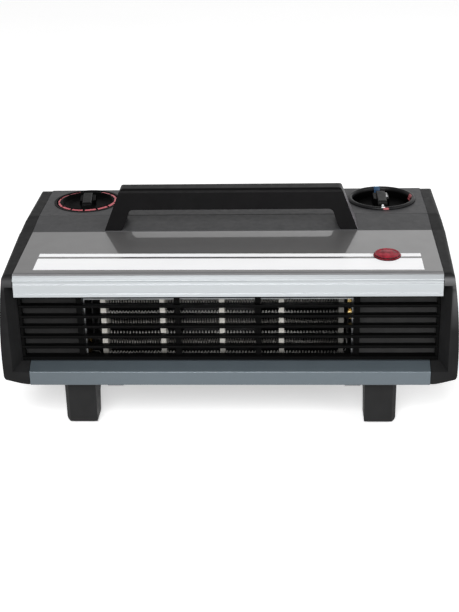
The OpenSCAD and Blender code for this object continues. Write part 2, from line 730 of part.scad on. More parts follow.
// The right knob's plain skirt lies deep in its bowl
module selector_knob() color(black_c) {
    r = dial_r - 8;
    knob(1, [[0, knob_z], [r, knob_z], [r, knob_z + 2], [r - 0.8, knob_z + 2.8], [0, knob_z + 2.8]],
        knob_z + 2.8, selector_angle);
}

// Spindle from a knob down into its control
module spindle(side) color(steel_c)
    translate([side * dial_x, fy(dial_y), spindle_z])
        cylinder(r = spindle_r, h = spindle_len);
module thermostat_spindle() spindle(-1);
module selector_spindle() spindle(1);

// Thermostat under the left dial: ceramic base, bracket plate and bimetal strip
module thermostat() color(ceramic_c) translate([-dial_x, fy(dial_y), 0]) {
    half = thermostat_w / 2;
    low = spindle_z - control_drop;
    top = bowl_floor - bowl_t - bushing_h;
    difference() {
        union() {
            translate([0, 0, top]) cylinder(r = thermostat_d / 2, h = bushing_h);
            block([-half, -thermostat_d / 2, low], [half, thermostat_d / 2, top]);
            block([-half, -plate_reach, low], [-half + plate_t, thermostat_d / 2 + 3, low + plate_h]);
            block([-half, -plate_reach, low], [half - 6, -plate_reach + plate_t, low + plate_h]);
        }
        translate([0, 0, spindle_z - 1]) cylinder(r = spindle_r + run_gap, h = spindle_len);
    }
}

// Rotary selector switch under the right dial, with its row of tags
module selector_switch() color(black_c) translate([dial_x, fy(dial_y), 0]) {
    low = spindle_z - control_drop - 2;
    top = bowl_floor - bowl_t - bushing_h + 1;
    difference() {
        union() {
            translate([0, 0, top]) cylinder(r = switch_r - 9, h = bushing_h - 1);
            translate([0, 0, low]) cylinder(r = switch_r, h = top - low);
            for (k = [-2:2]) translate([k * switch_tag_pitch, 0, 0])
                block([-switch_tag_half, -1, low - 8], [switch_tag_half, -0.2, low + 1]);
        }
        translate([0, 0, spindle_z - 1]) cylinder(r = spindle_r + run_gap, h = spindle_len);
    }
}

// Round pilot lens that snaps into the bright panel
module pilot_lens() color(red_c) at_lens() {
    difference() {
        rotate_extrude() polygon(concat([[0, 0.02], [lens_r, 0.02], [lens_r, 0.8]],
            [for (k = [0:6]) let (t = k * 15) [(lens_r - 0.6) * cos(t), 0.8 + (lens_h - 0.8) * sin(t)]]));
        translate([0, 0, -1]) cylinder(r = 3.4, h = 3);
    }
    difference() {
        translate([0, 0, -6]) cylinder(r = lens_r - 2.4, h = 6.1);
        translate([0, 0, -7]) cylinder(r = lens_r - 4.4, h = 8);
    }
}

// Neon lamp held behind the lens
module neon_lamp() color(amber_c) at_lens() {
    translate([0, 0, -8]) cylinder(r = 2.8, h = 8);
    translate([0, 0, -8]) cylinder(r = lens_r - 4.7, h = 1.6);
    for (x = [-1.2, 1.2]) translate([x, 0, -20]) cylinder(r = 0.4, h = 12.5);
}

// Everything that turns with the motor sits on this axis
module on_axis() translate([fan_x, fy(fan_y), fan_z]) children();

// Laminated core of a shaded-pole motor, with a window for the winding
module core_outline() difference() {
    polygon(rounded([[-core_half, -core_low, 2], [-core_half, 24, 6], [core_half, 24, 6],
        [core_half, -core_low, 2]]));
    circle(r = rotor_r + 0.4);
    for (side = [-1, 1]) mirror([side < 0 ? 1 : 0, 0]) window(window_x0, window_x1, 0);
}

// Opening in the core on one side of its lower limb, drawn in by inset
module window(x0, x1, inset)
    polygon([[x0 + inset, window_z0 + inset], [x1 - inset, window_z0 + inset],
        [x1 - inset, window_z1 - inset], [x0 + inset, window_z1 - inset]]);
module motor_core() color(steel_c) on_axis() span_x(-core_w / 2, core_w / 2) core_outline();

// Folded stand that carries the motor core on the floor of the body
module motor_stand() color(steel_c) on_axis() {
    foot_z = z_floor_top - fan_z;
    half = core_half - 6;
    span_x(-core_w / 2 - 3, core_w / 2 + 3) polygon([
        [-half - 12, foot_z], [-half - 12, foot_z + stand_t], [-half - stand_t, foot_z + stand_t],
        [-half, -core_low], [half, -core_low], [half + stand_t, foot_z + stand_t],
        [half + 12, foot_z + stand_t], [half + 12, foot_z], [half, foot_z],
        [half - stand_t, -core_low - stand_t], [-half + stand_t, -core_low - stand_t], [-half, foot_z]]);
}

// Copper winding round the core's lower limb
module motor_winding() color(copper_c) on_axis() difference() {
    span_x(-core_w / 2 - 7, core_w / 2 + 7) window(-window_x1, window_x1, joint_gap);
    span_x(-core_w / 2 - joint_gap, core_w / 2 + joint_gap) difference() {
        square(3 * core_half, center = true);
        for (side = [-1, 1]) mirror([side < 0 ? 1 : 0, 0]) window(window_x0, window_x1, joint_gap);
    }
}

// Bearing bracket screwed to the core through two spacers
module motor_bracket(side) color(steel_c) on_axis() mirror([side < 0 ? 1 : 0, 0, 0]) {
    x0 = core_w / 2;
    x1 = x0 + spacer_l;
    half = spacer_y + spacer_r + 1;
    difference() {
        union() {
            for (y = [-spacer_y, spacer_y]) translate([0, y, spacer_z]) rod_x(x0, x1, spacer_r);
            span_x(x1, x1 + stand_t) polygon(rounded([
                [-half, spacer_z - 5, 3], [-half, spacer_z + 5, 3], [half, spacer_z + 5, 3],
                [half, spacer_z - 5, 3], [shaft_r + 6, -10, 6], [-shaft_r - 6, -10, 6]]));
            rod_x(x1 - bearing_l / 2 - 0.5, x1 + bearing_l / 2 - 0.5, shaft_r + 3);
        }
        rod_x(x0, x1 + bearing_l, shaft_r + run_gap);
    }
}
module left_motor_bracket() motor_bracket(-1);
module right_motor_bracket() motor_bracket(1);

// Shaft through the motor and both impellers
module motor_shaft() color(steel_c) on_axis() {
    reach = impeller_x + 16;
    rod_x(-reach, reach, shaft_r);
}

module rotor() color(steel_c) on_axis() difference() {
    rod_x(-core_w / 2 - 1, core_w / 2 + 1, rotor_r);
    rod_x(-core_w, core_w, shaft_r + 0.02);
}

// Outline of one forward-curved blade between the radii a and b
function blade(a, b, t) =
    let (n = 4, lean = 22)
    concat([for (k = [0:n]) let (s = k / n, r = a + (b - a) * s, w = lean * s * s) r * [cos(w), sin(w)]],
        [for (k = [n:-1:0]) let (s = k / n, r = a + (b - a) * s, w = lean * s * s + t / r * 57.3)
            r * [cos(w), sin(w)]]);

// Squirrel-cage impeller: back plate with a hub, blades and an end ring
module impeller(side) color(black_c) on_axis() mirror([side < 0 ? 1 : 0, 0, 0]) {
    x0 = impeller_x;
    plate = 1.6;
    difference() {
        union() {
            rod_x(x0, x0 + plate, impeller_r);
            rod_x(x0, x0 + 15, 7);
        }
        rod_x(x0 - 1, x0 + 16, shaft_r + 0.02);
    }
    span_x(x0 + plate - eps, x0 + impeller_w - plate + eps)
        for (k = [0:blade_count - 1]) rotate(k * 360 / blade_count)
            polygon(blade(impeller_r - 7, impeller_r - 0.5, 1.1));
    difference() {
        rod_x(x0 + impeller_w - plate, x0 + impeller_w, impeller_r);
        rod_x(x0 + impeller_w - plate - 1, x0 + impeller_w + 1, impeller_r - 7.5);
    }
}
module left_impeller() impeller(-1);
module right_impeller() impeller(1);

// Snail outline of a blower, grown by t, from its tongue round to the outlet
function scroll(t) =
    let (n = 28, sweep = tongue_a + 90, grow = scroll_r1 - scroll_r0, front = duct_y1 + joint_gap - fan_y)
    concat([for (k = [0:n]) let (a = tongue_a - sweep * k / n, r = scroll_r0 + grow * k / n + t)
            [r * cos(a), r * sin(a)]],
        [[front, duct_z0 - fan_z + 2 - t], [front, duct_z1 - fan_z - 2 + t]]);

// Blower case: scroll wall and two side plates with inlets
module blower_case(side) color(charcoal_c) on_axis() mirror([side < 0 ? 1 : 0, 0, 0]) {
    x0 = motor_half;
    x1 = motor_half + blower_w;
    difference() {
        span_x(x0, x1) polygon(scroll(scroll_t));
        span_x(x0 + scroll_t, x1 - scroll_t) {
            polygon(scroll(0));
            translate([duct_y1 - fan_y - 1, duct_z0 - fan_z + 2]) square([4, duct_z1 - duct_z0 - 4]);
        }
        rod_x(x0 - 1, x1 + 1, inlet_r);
    }
}
module left_blower_case() blower_case(-1);
module right_blower_case() blower_case(1);

// Plate that closes the duct between the two outlets
module centre_baffle() color(steel_c) translate([fan_x, 0, 0]) {
    x = motor_half - joint_gap;
    block([-x, fy(duct_y1 + joint_gap), duct_z0], [x, fy(duct_y1 + joint_gap + sheet), duct_z1]);
    block([-x, fy(duct_y1 + joint_gap), duct_z0], [x, fy(duct_y1 + 12), duct_z0 + sheet]);
}

// Sheet-metal duct, open at the front and the back
module duct_frame() color(steel_c) {
    difference() {
        block([duct_x0, fy(duct_y0), duct_z0], [duct_x1, fy(duct_y1), duct_z1]);
        block([duct_x0 + sheet, fy(duct_y0 - 1), duct_z0 + sheet],
            [duct_x1 - sheet, fy(duct_y1 + 1), duct_z1 - sheet]);
    }
    for (x = [duct_x0 + 8, duct_x1 - 8])
        block([x - 5, fy(duct_y0 + 4), z_floor_top], [x + 5, fy(duct_y0 + 4 + sheet), duct_z0 + eps]);
}

// Heights of the three rows of the front and of the rear coil
function row_z(shift) = [for (k = [0:2]) duct_z0 + row_low + shift + k * row_pitch];

// Ceramic posts that the coils run through
module insulator_posts() color(ceramic_c) difference() {
    for (x = post_xs)
        block([x - post_w / 2, fy(post_y - post_d / 2), duct_z0 + sheet],
            [x + post_w / 2, fy(post_y + post_d / 2), duct_z1 - sheet]);
    for (x = post_xs, z = row_z(0)) translate([x, fy(front_coil_y), z])
        rod_x(-post_w, post_w, coil_r + 0.3);
    for (x = post_xs, z = row_z(row_shift)) translate([x, fy(front_coil_y + coil_step), z])
        rod_x(-post_w, post_w, coil_r + 0.3);
}

// Centre line of a coil: three rows of curls joined by bends at their ends
function coil_row(y, z, x_from, x_to, first, turns = curls) =
    let (n = turns * rings_per_curl)
    [for (k = [0:n]) let (a = first + 360 * k / rings_per_curl)
        [x_from + (x_to - x_from) * k / n, y + turn_r * cos(a), z + turn_r * sin(a)]];
function coil_bend(y, za, zb, x, out) =
    let (half = abs(zb - za) / 2)
    [for (s = [-1, -0.6, 0, 0.6, 1])
        [x + out * (bend_start + bend_reach * (1 - s * s)), y, (za + zb) / 2 - (half - turn_r) * s]];
function coil_line(y, zs) =
    let (top = zs[2], mid = zs[1], low = zs[0])
    concat([[duct_x1 - tag_reach, y, top - turn_r], [duct_x1 - tag_reach - wire_d, y, top - turn_r]],
        coil_row(y, top, coil_x1, coil_x0, -90), coil_bend(y, top, mid, coil_x0, -1),
        coil_row(y, mid, coil_x0, coil_x1, 90, curls + 0.5), coil_bend(y, mid, low, coil_x1, 1),
        coil_row(y, low, coil_x1, coil_x0, 90),
        [[duct_x0 + tag_reach + wire_d, y, low + turn_r], [duct_x0 + tag_reach, y, low + turn_r]]);

// Least distance between points of a line that are at least 3 apart, less the wire
function least_gap(p) =
    min([for (i = [0:len(p) - 4]) min([for (j = [i + 3:len(p) - 1]) norm(p[i] - p[j])])]) - wire_d;

// Tube of six sides along a line of points, one mesh with closed ends
module wire(p) {
    sides = 6;
    n = len(p);
    along = [for (i = [0:n - 1]) unit(p[min(i + 1, n - 1)] - p[max(i - 1, 0)])];
    function level(u, t) = unit(u - (u * t) * t);
    across = [for (i = 0, u = level([0, 1, 0], along[0]); i < n;
        i = i + 1, u = i < n ? level(u, along[i]) : u) u];
    rings = [for (i = [0:n - 1], k = [0:sides - 1]) let (a = 360 * k / sides)
        p[i] + wire_d / 2 * (across[i] * cos(a) + cross(along[i], across[i]) * sin(a))];
    polyhedron(rings, concat(
        [[for (k = [0:sides - 1]) k]],
        [for (i = [0:n - 2], k = [0:sides - 1], half = [0, 1])
            let (a = i * sides + k, b = i * sides + (k + 1) % sides)
            half == 0 ? [a, a + sides, b] : [b, a + sides, b + sides]],
        [[for (k = [sides - 1:-1:0]) (n - 1) * sides + k]]));
}
module heating_coil(y, shift) {
    line = coil_line(fy(y), row_z(shift));
    echo(least_gap_mm = least_gap(line));
    wire(line);
}
module front_heating_coil() color(wire_c) heating_coil(front_coil_y, 0);
module rear_heating_coil() color(wire_c) heating_coil(front_coil_y + coil_step, row_shift);

// Brass terminal on a side wall of the duct: a block for the coil's end and a lug above it
module coil_terminal(x, side, d, z) translate([x, fy(d), z]) mirror([side < 0 ? 1 : 0, 0, 0]) {
    block([-tag_reach, -tag_half, -tag_half], [-sheet, tag_half, tag_half]);
    block([-tag_reach - 1.2, -tag_half, tag_half - 0.8], [-sheet, tag_half, tag_half + lug_h]);
}
module coil_terminals() color(brass_c)
    for (coil = [[front_coil_y, 0], [front_coil_y + coil_step, row_shift]]) {
        zs = row_z(coil[1]);
        coil_terminal(duct_x1, 1, coil[0], zs[2] - turn_r);
        coil_terminal(duct_x0, -1, coil[0], zs[0] + turn_r);
    }

// Resetting thermal cut-out on top of the duct
module thermal_cutout() color(black_c) translate([duct_x1 - 34, fy(duct_y0 + duct_d / 2), duct_z1]) {
    cylinder(r = 8, h = 5);
    block([-12, -3, 0], [12, 3, 1.2]);
    for (x = [-5, 5]) block([x - 2, -0.4, 4.9], [x + 2, 0.4, 11]);
}

// Thermal fuse beside the cut-out, in its clip
module thermal_fuse() color(amber_c) translate([duct_x1 - 66, fy(duct_y0 + duct_d / 2), duct_z1]) {
    translate([0, 0, 2.2]) rod_x(-6, 6, 2);
    for (x = [-8, 6]) block([x, -2.5, 0], [x + 2, 2.5, 2.2]);
    translate([0, 0, 2.2]) rod_x(-9, 9, 0.5);
}

// Mains terminal block on the floor of the body
module terminal_block() color(ceramic_c)
    translate([grommet_x - 8, fy(rear_y - 34), z_floor_top]) difference() {
        union() {
            block([-14, -9, 0], [14, 9, 8]);
            for (x = [-9, 0, 9]) block([x - 3.5, -6, 7.9], [x + 3.5, 6, 14]);
        }
        for (x = [-9, 0, 9], y = [-3, 3]) translate([x, y, 10]) cylinder(r = 1.7, h = 5);
    }

// Flanged grommet round the hole for the mains cord
module cord_grommet() color(rubber_c)
    translate([grommet_x, fy(rear_y), grommet_z]) rotate([-90, 0, 0]) rotate_extrude()
    polygon([[cord_r, -wall - 2.4], [cord_r + 3.6, -wall - 2.4], [cord_r + 3.6, -wall],
        [cord_r + 2.3, -wall], [cord_r + 2.3, 0], [cord_r + 3.8, 0], [cord_r + 3, 3], [cord_r, 3]]);

// Screws of the back wall and of the feet
module screw(shank) {
    cylinder(r = screw_r - 0.1, h = shank);
    difference() {
        translate([0, 0, -1.8]) intersection() {
            cylinder(r = 3, h = 1.8);
            translate([0, 0, 4.2]) sphere(r = 4.4);
        }
        for (a = [0, 90]) rotate(a) translate([0, 0, -2]) cube([3.6, 0.7, 1.8], center = true);
    }
}
module rear_screws() color(steel_c) rear_screw_places() rotate([90, 0, 0]) screw(7);
module foot_screws() color(steel_c) foot_screw_places() translate([0, 0, z_base - 5]) screw(wall + boss_h);

left_end_cap();
right_end_cap();
base_pan();
rear_cover();
rear_deck();
top_panel();
trim_bar();
front_grille();
lower_panel();
left_baffle();
right_baffle();
handle();
left_foot();
right_foot();
foot_pads();
front_clips();
left_dial_bowl();
right_dial_bowl();
thermostat_knob();
thermostat_spindle();
selector_knob();
selector_spindle();
thermostat();
selector_switch();
pilot_lens();
neon_lamp();
motor_stand();
motor_core();
motor_winding();
left_motor_bracket();
right_motor_bracket();
motor_shaft();
rotor();
left_impeller();
right_impeller();
left_blower_case();
right_blower_case();
centre_baffle();
duct_frame();
insulator_posts();
front_heating_coil();
rear_heating_coil();
coil_terminals();
thermal_cutout();
thermal_fuse();
terminal_block();
cord_grommet();
rear_screws();
foot_screws();
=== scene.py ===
"""Table-top fan heater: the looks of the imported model.

Finely curled coils, the panel's folded lip, printed stripes, dial marks, a fluted lens, materials,
light and camera. Sizes of the heater are in millimetres, and those of the floor, the lamps and the
camera in metres.
"""
import json
from math import atan2, ceil, cos, pi, radians, sin, tau

import bmesh
import bpy
from mathutils import Matrix, Vector


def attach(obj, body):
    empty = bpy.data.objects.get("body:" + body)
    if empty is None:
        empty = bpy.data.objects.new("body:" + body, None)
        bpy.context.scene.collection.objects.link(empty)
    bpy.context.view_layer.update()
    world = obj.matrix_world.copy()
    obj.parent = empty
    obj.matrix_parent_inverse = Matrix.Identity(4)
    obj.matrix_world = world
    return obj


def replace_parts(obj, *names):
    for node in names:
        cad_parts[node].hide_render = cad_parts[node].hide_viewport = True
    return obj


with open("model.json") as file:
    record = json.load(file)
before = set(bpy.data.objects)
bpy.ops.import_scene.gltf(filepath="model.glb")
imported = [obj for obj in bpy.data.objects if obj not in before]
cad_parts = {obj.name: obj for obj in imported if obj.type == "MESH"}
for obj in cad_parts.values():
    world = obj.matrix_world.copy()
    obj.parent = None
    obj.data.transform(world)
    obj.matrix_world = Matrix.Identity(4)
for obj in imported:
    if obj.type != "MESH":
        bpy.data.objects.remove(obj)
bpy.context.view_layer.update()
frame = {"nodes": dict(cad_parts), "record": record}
NODES = frame["nodes"]
SLOT_OF = {part["node"]: part["material_slot"] for part in frame["record"]["subparts"]}

MM = 0.001

# Sizes that the model shares with its source
BODY_D = 220
Z_TOP = 148
BAR_BACK = 5.7
PANEL_D = 96
PANEL_RISE = 3.3
Z_DECK = 154.6
DIAL_X = 142
DIAL_Y = 62
DIAL_R = 32.3
RIM_H = 2.8
RIM_ROUND = 2.3
RING_IN = 24.5
RING_OUT = 28.9
RING_Z = 155.6
RING_FALL = 1.1
LENS_X = 137.3
LENS_D = 39.5
LENS_R = 11.8


def fy(d):
    """Distance behind the front face, as a Y coordinate."""
    return d - BODY_D / 2


def panel_z(d):
    """Height of the bright panel at a distance behind the front face."""
    return Z_TOP + (d - BAR_BACK) * PANEL_RISE / (PANEL_D - BAR_BACK)


# Materials
class Nodes:
    """A node tree, with short calls for the nodes that it needs."""

    def __init__(self, tree):
        self.tree = tree

    def add(self, kind, **props):
        node = self.tree.nodes.new(kind)
        for key, value in props.items():
            setattr(node, key, value)
        return node

    def link(self, a, b):
        self.tree.links.new(a, b)

    def feed(self, socket, value):
        """Sets a socket to a number, or links an output to it."""
        if isinstance(value, bpy.types.NodeSocket):
            self.link(value, socket)
        else:
            socket.default_value = value

    def maths(self, operation, *values):
        """Result of an operation on numbers and outputs."""
        node = self.add("ShaderNodeMath", operation=operation)
        for socket, value in zip(node.inputs, values):
            self.feed(socket, value)
        return node.outputs["Value"]

    def spread(self, factor, low, high, start=0.3, end=0.7):
        """Turns the stretch of a factor from start to end into low to high."""
        node = self.add("ShaderNodeMapRange")
        keys = "Value", "From Min", "From Max", "To Min", "To Max"
        for key, value in zip(keys, (factor, start, end, low, high)):
            self.feed(node.inputs[key], value)
        return node.outputs["Result"]


FINISHES = {}


class Finish(Nodes):
    """One material, kept in FINISHES by its name."""

    def __init__(self, name, colour, rough, metal=0.0, **sockets):
        FINISHES[name] = self
        self.mat = bpy.data.materials.new(name)
        self.mat.use_nodes = True
        super().__init__(self.mat.node_tree)
        self.bsdf = self.tree.nodes["Principled BSDF"]
        self.coords = self.add("ShaderNodeTexCoord").outputs["Object"]
        self.colour, self.rough = colour, rough
        self.normal = None
        self.bsdf.inputs["Base Color"].default_value = (*colour, 1)
        self.bsdf.inputs["Roughness"].default_value = rough
        self.bsdf.inputs["Metallic"].default_value = metal
        for key, value in sockets.items():
            self.bsdf.inputs[key.replace("_", " ")].default_value = value

    def noise(self, size, detail=2.0, stretch=(1, 1, 1), rough=0.5):
        """Noise whose features are about size millimetres across, and longer where stretch is small."""
        mapping = self.add("ShaderNodeMapping")
        mapping.inputs["Scale"].default_value = stretch
        self.link(self.coords, mapping.inputs["Vector"])
        node = self.add("ShaderNodeTexNoise")
        node.inputs["Scale"].default_value = 1 / (size * MM)
        node.inputs["Detail"].default_value = detail
        node.inputs["Roughness"].default_value = rough
        self.link(mapping.outputs["Vector"], node.inputs["Vector"])
        return node.outputs["Fac"]

    def cells(self, size):
        """Distance to the middle of the nearest cell, where cells are about size millimetres across."""
        node = self.add("ShaderNodeTexVoronoi")
        node.inputs["Scale"].default_value = 1 / (size * MM)
        self.link(self.coords, node.inputs["Vector"])
        return node.outputs["Distance"]

    def waves(self, size, axis, distort):
        """Bands across an axis, one every size millimetres: at scale 1 the node's are tau / 20 long."""
        node = self.add("ShaderNodeTexWave", bands_direction=axis)
        node.inputs["Scale"].default_value = tau / 20 / (size * MM)
        node.inputs["Distortion"].default_value = distort
        self.link(self.coords, node.inputs["Vector"])
        return node.outputs["Fac"]

    def paint(self, factor, *stops):
        """Base colour by a factor, between stops of a position and a colour."""
        node = self.add("ShaderNodeValToRGB")
        while len(node.color_ramp.elements) < len(stops):
            node.color_ramp.elements.new(0.5)
        for element, (at, colour) in zip(node.color_ramp.elements, stops):
            element.position = at
            element.color = (*colour, 1)
        self.link(factor, node.inputs["Fac"])
        self.link(node.outputs["Color"], self.bsdf.inputs["Base Color"])
        return self

    def tint(self, factor, amount, start, end):
        """Base colour from a little darker to a little lighter, as the factor runs from start to end."""
        darker = [c * (1 - amount) for c in self.colour]
        lighter = [min(1, c * (1 + amount)) for c in self.colour]
        return self.paint(factor, (start, darker), (end, lighter))

    def vary(self, amount, size, detail=3.0):
        """Soft patches a little darker and lighter than the colour."""
        return self.tint(self.noise(size, detail), amount, 0.35, 0.65)

    def gloss(self, factor, amount):
        """Roughness a little lower and higher by a factor."""
        result = self.spread(factor, self.rough - amount, self.rough + amount)
        self.link(result, self.bsdf.inputs["Roughness"])
        return self

    def rub(self, amount, size):
        """Roughness that differs from place to place."""
        return self.gloss(self.noise(size, 4.0), amount)

    def bump(self, height, depth):
        """Relief of depth millimetres."""
        node = self.add("ShaderNodeBump")
        node.inputs["Distance"].default_value = depth * MM
        node.inputs["Strength"].default_value = 1.0
        self.link(height, node.inputs["Height"])
        if self.normal:
            self.link(self.normal, node.inputs["Normal"])
        self.normal = node.outputs["Normal"]
        self.link(self.normal, self.bsdf.inputs["Normal"])
        return self

    def grain(self, size, depth, detail=2.0, stretch=(1, 1, 1)):
        return self.bump(self.noise(size, detail, stretch), depth)

    def along(self, what, axis, start, end, low, high):
        """A factor that runs from low to high with the Position or the Normal of the surface.

        start and end are millimetres for a Position.
        """
        unit = MM if what == "Position" else 1
        split = self.add("ShaderNodeSeparateXYZ")
        self.link(self.add("ShaderNodeNewGeometry").outputs[what], split.inputs["Vector"])
        return self.spread(split.outputs[axis], low, high, start * unit, end * unit)

    def shade(self, factor):
        """Multiplies the base colour, as it is linked so far, by a factor."""
        socket = self.bsdf.inputs["Base Color"]
        scaled = self.add("ShaderNodeVectorMath", operation="SCALE")
        self.link(socket.links[0].from_socket, scaled.inputs[0])
        self.link(factor, scaled.inputs["Scale"])
        self.link(scaled.outputs["Vector"], socket)
        return self

    def fade(self, *limit):
        """Multiplies the colour by a factor, written as for along."""
        return self.shade(self.along(*limit))

    def paler(self, times, *limits):
        """Multiplies the colour where all the limits hold, each written as for along."""
        total = self.along(*limits[0])
        for limit in limits[1:]:
            total = self.maths("MULTIPLY", total, self.along(*limit))
        return self.shade(self.spread(total, 1.0, times, 0.0, 1.0))


def moulded(name, colour, rough, grain, depth, level, vary=0.10, wave=0.03):
    """Moulded plastic: eroded grain, faint flow patches, uneven sheen and slow waves."""
    f = Finish(name, colour, rough, Specular_IOR_Level=level)
    f.vary(vary, 14).rub(0.06, 5)
    return f.grain(grain, depth, 3.0).grain(9, wave)


# Colour, roughness, size and depth of the grain, share of gloss, strength of the patches
PLASTICS = {
    "charcoal_shell": ((0.050, 0.050, 0.052), 0.5, 0.5, 0.018, 0.28, 0.06),
    "foot_plastic": ((0.0125, 0.0125, 0.0128), 0.5, 0.6, 0.03, 0.16),
    "bowl_plastic": ((0.002, 0.002, 0.0023), 0.3, 0.8, 0.004, 0.03),
    "fan_plastic": ((0.020, 0.020, 0.021), 0.42, 0.7, 0.02, 0.25),
    "control_phenolic": ((0.040, 0.030, 0.024), 0.38, 0.5, 0.02, 0.4, 0.3),
    "pad_rubber": ((0.016, 0.016, 0.016), 0.78, 0.4, 0.05, 0.2, 0.2),
    "grille_plastic": ((0.002, 0.002, 0.002), 0.34, 0.9, 0.006, 0.03),
    "baffle_paint": ((0.026, 0.026, 0.026), 0.5, 0.9, 0.01, 0.15),
    # the right baffle's paler copy of the baffle paint is painted light
    "baffle_light": ((0.042, 0.042, 0.042), 0.5, 0.9, 0.01, 0.15),
}
for name, values in PLASTICS.items():
    moulded(name, *values)


def handle_plastic():
    """Handle plastic with a painted highlight along the outer edge of the right leg."""
    f = moulded("handle_plastic", (0.004, 0.0038, 0.0041), 0.34, 0.6, 0.003, 0.05, wave=0.004)
    edge = ("Normal", "X", 0.2, 0.4, 0.0, 1.0), ("Normal", "X", 0.85, 0.97, 1.0, 0.0)
    leg = ("Position", "X", 92, 96, 0.0, 1.0), ("Position", "Z", 179, 183, 1.0, 0.0)
    # painted highlight: up to 130 times paler on the right leg's rounded outer edge
    f.paler(130.0, *edge, *leg)


def cap_plastic():
    """Plastic of the end caps, with a painted highlight on the brow beside the bar and on the right rim
    below it.
    """
    f = moulded("black_shell", (0.0122, 0.0122, 0.0125), 0.42, 0.7, 0.03, 0.06)
    front = ("Normal", "Y", -0.8, -0.4, 1.0, 0.0)
    brow = front, ("Position", "Z", 134, 142, 0.0, 1.0), ("Position", "Z", 143.5, 146, 1.0, 0.0)
    # painted highlight on both brows, stronger on the right cap
    f.paler(11.0, *brow, ("Position", "X", 100, 150, 0.0, 1.0))
    f.paler(4.5, *brow, ("Position", "X", -150, -100, 1.0, 0.0))
    rim = ("Position", "X", 188, 191, 0.0, 1.0), ("Position", "Z", 95, 130, 0.0, 1.0)
    # painted highlight on the right cap's rim below the brow
    f.paler(6.0, front, *rim, ("Position", "Z", 130, 137, 1.0, 0.0))


handle_plastic()
cap_plastic()


def top_highlit(name, lower, upper, rough, level, from_z, to_z, sheen=0.14):
    """Plastic that is glossy black low down, with a satin grey above from_z that is a painted highlight.
    """
    f = moulded(name, lower, rough, 0.8, 0.004, level)
    height = f.along("Position", "Z", from_z, to_z, 0.0, 1.0)
    specks = f.spread(f.noise(1.5, 3.0), 0.8, 1.2)
    # painted highlight: the colour turns grey above from_z
    f.paint(f.maths("MULTIPLY", height, specks), (0.0, lower), (1.0, upper))
    f.link(f.spread(height, level, sheen, 0.0, 1.0), f.bsdf.inputs["Specular IOR Level"])


KNOB_BLACK = (0.002, 0.002, 0.002)
# the grey tops of the rim and of both grips are painted highlights
top_highlit("rim_plastic", (0.001, 0.001, 0.001), (0.008, 0.008, 0.0085), 0.34, 0.005, 153.6, 156.4)
top_highlit("thermostat_plastic", KNOB_BLACK, (0.003, 0.003, 0.003), 0.34, 0.01, 155.7, 157.6, 0.05)
top_highlit("selector_plastic", KNOB_BLACK, (0.008, 0.008, 0.008), 0.4, 0.01, 153.5, 157.6, 0.09)


def lacquer(name, colour, rough, metal, coat, coat_ior):
    """Metallic lacquer: fine flakes under a clear coat, with a trace of orange peel."""
    f = Finish(name, colour, rough, metal, Coat_Weight=coat, Coat_Roughness=0.04, Coat_IOR=coat_ior)
    f.tint(f.noise(0.25, 1.0), 0.06, 0.38, 0.62).rub(0.05, 20)
    return f.grain(2.2, 0.0015, 1.0)


# The top panel is darker towards its right end, and the lower panel towards its left end: painted shade
silver = lacquer("silver_panel", (0.130, 0.128, 0.128), 0.42, 0.35, 1.0, 1.7)
silver.fade("Position", "X", 130, 180, 1.0, 0.84)
slate = lacquer("slate_panel", (0.099, 0.124, 0.142), 0.34, 0.55, 0.6, 1.5)
slate.fade("Position", "X", -185, -60, 0.84, 1.0)


def brushed(name, colour, rough, stretch, line, depth, vary=0.05, upward=1):
    """Brushed metal: long fine lines in the colour, the sheen and the relief.

    The colour of faces that look upwards is multiplied by upward: a painted shade on them.
    """
    f = Finish(name, colour, rough, 1.0)
    lines = f.noise(line, 3.0, stretch)
    f.tint(lines, vary, 0.3, 0.7)
    if upward < 1:
        f.fade("Normal", "Z", 0.2, 0.6, 1.0, upward)
    f.gloss(f.noise(line * 2, 2.0, stretch), 0.07).bump(lines, depth)


# the bright trim's upward faces get a painted shade
brushed("bright_trim", (0.46, 0.483, 0.498), 0.46, (0.0005, 1, 1), 0.25, 0.0002, 0.015, 0.47)
brushed("spindle_steel", (0.50, 0.50, 0.51), 0.28, (1, 1, 0.1), 0.2, 0.004)


def zinc(name, colour, rough, metal=0.9):
    """Zinc-plated sheet: faint spangle, dull patches and rolling lines."""
    f = Finish(name, colour, rough, metal)
    f.paint(f.cells(7), (0.0, [c * 0.86 for c in colour]), (0.8, [c * 1.1 for c in colour]))
    return f.rub(0.12, 8).grain(0.6, 0.01, 3.0, (0.1, 1, 1))


ZINC_GREY = (0.45, 0.46, 0.47)
zinc("sheet_steel", ZINC_GREY, 0.38)
zinc("dark_sheet", (0.030, 0.030, 0.031), 0.5, 0.3)
zinc("screw_steel", (0.60, 0.60, 0.60), 0.22)

# The duct's steel keeps its colour at its front edge and is darkened inside by painted shade
DUCT_EDGE_Y = -88.9
zinc("duct_steel", ZINC_GREY, 0.38).fade("Position", "Y", DUCT_EDGE_Y, DUCT_EDGE_Y + 1, 1.0, 0.05)


def laminated():
    """Stacked core sheets with dark lines between them."""
    f = Finish("core_steel", (0.20, 0.20, 0.21), 0.42, 0.85)
    bands = f.waves(0.7, "X", 0.3)
    f.paint(bands, (0.1, (0.06, 0.058, 0.056)), (0.5, (0.24, 0.24, 0.25)))
    f.rub(0.1, 6).bump(bands, 0.08)


def wound_copper():
    """Varnished turns of copper wire."""
    f = Finish("copper_winding", (0.36, 0.12, 0.045), 0.28, 0.7, Coat_Weight=0.6, Coat_Roughness=0.15)
    turns = f.waves(0.5, "Z", 1.0)
    f.paint(turns, (0.1, (0.13, 0.035, 0.012)), (0.6, (0.46, 0.17, 0.06)))
    f.rub(0.08, 4).bump(turns, 0.15)


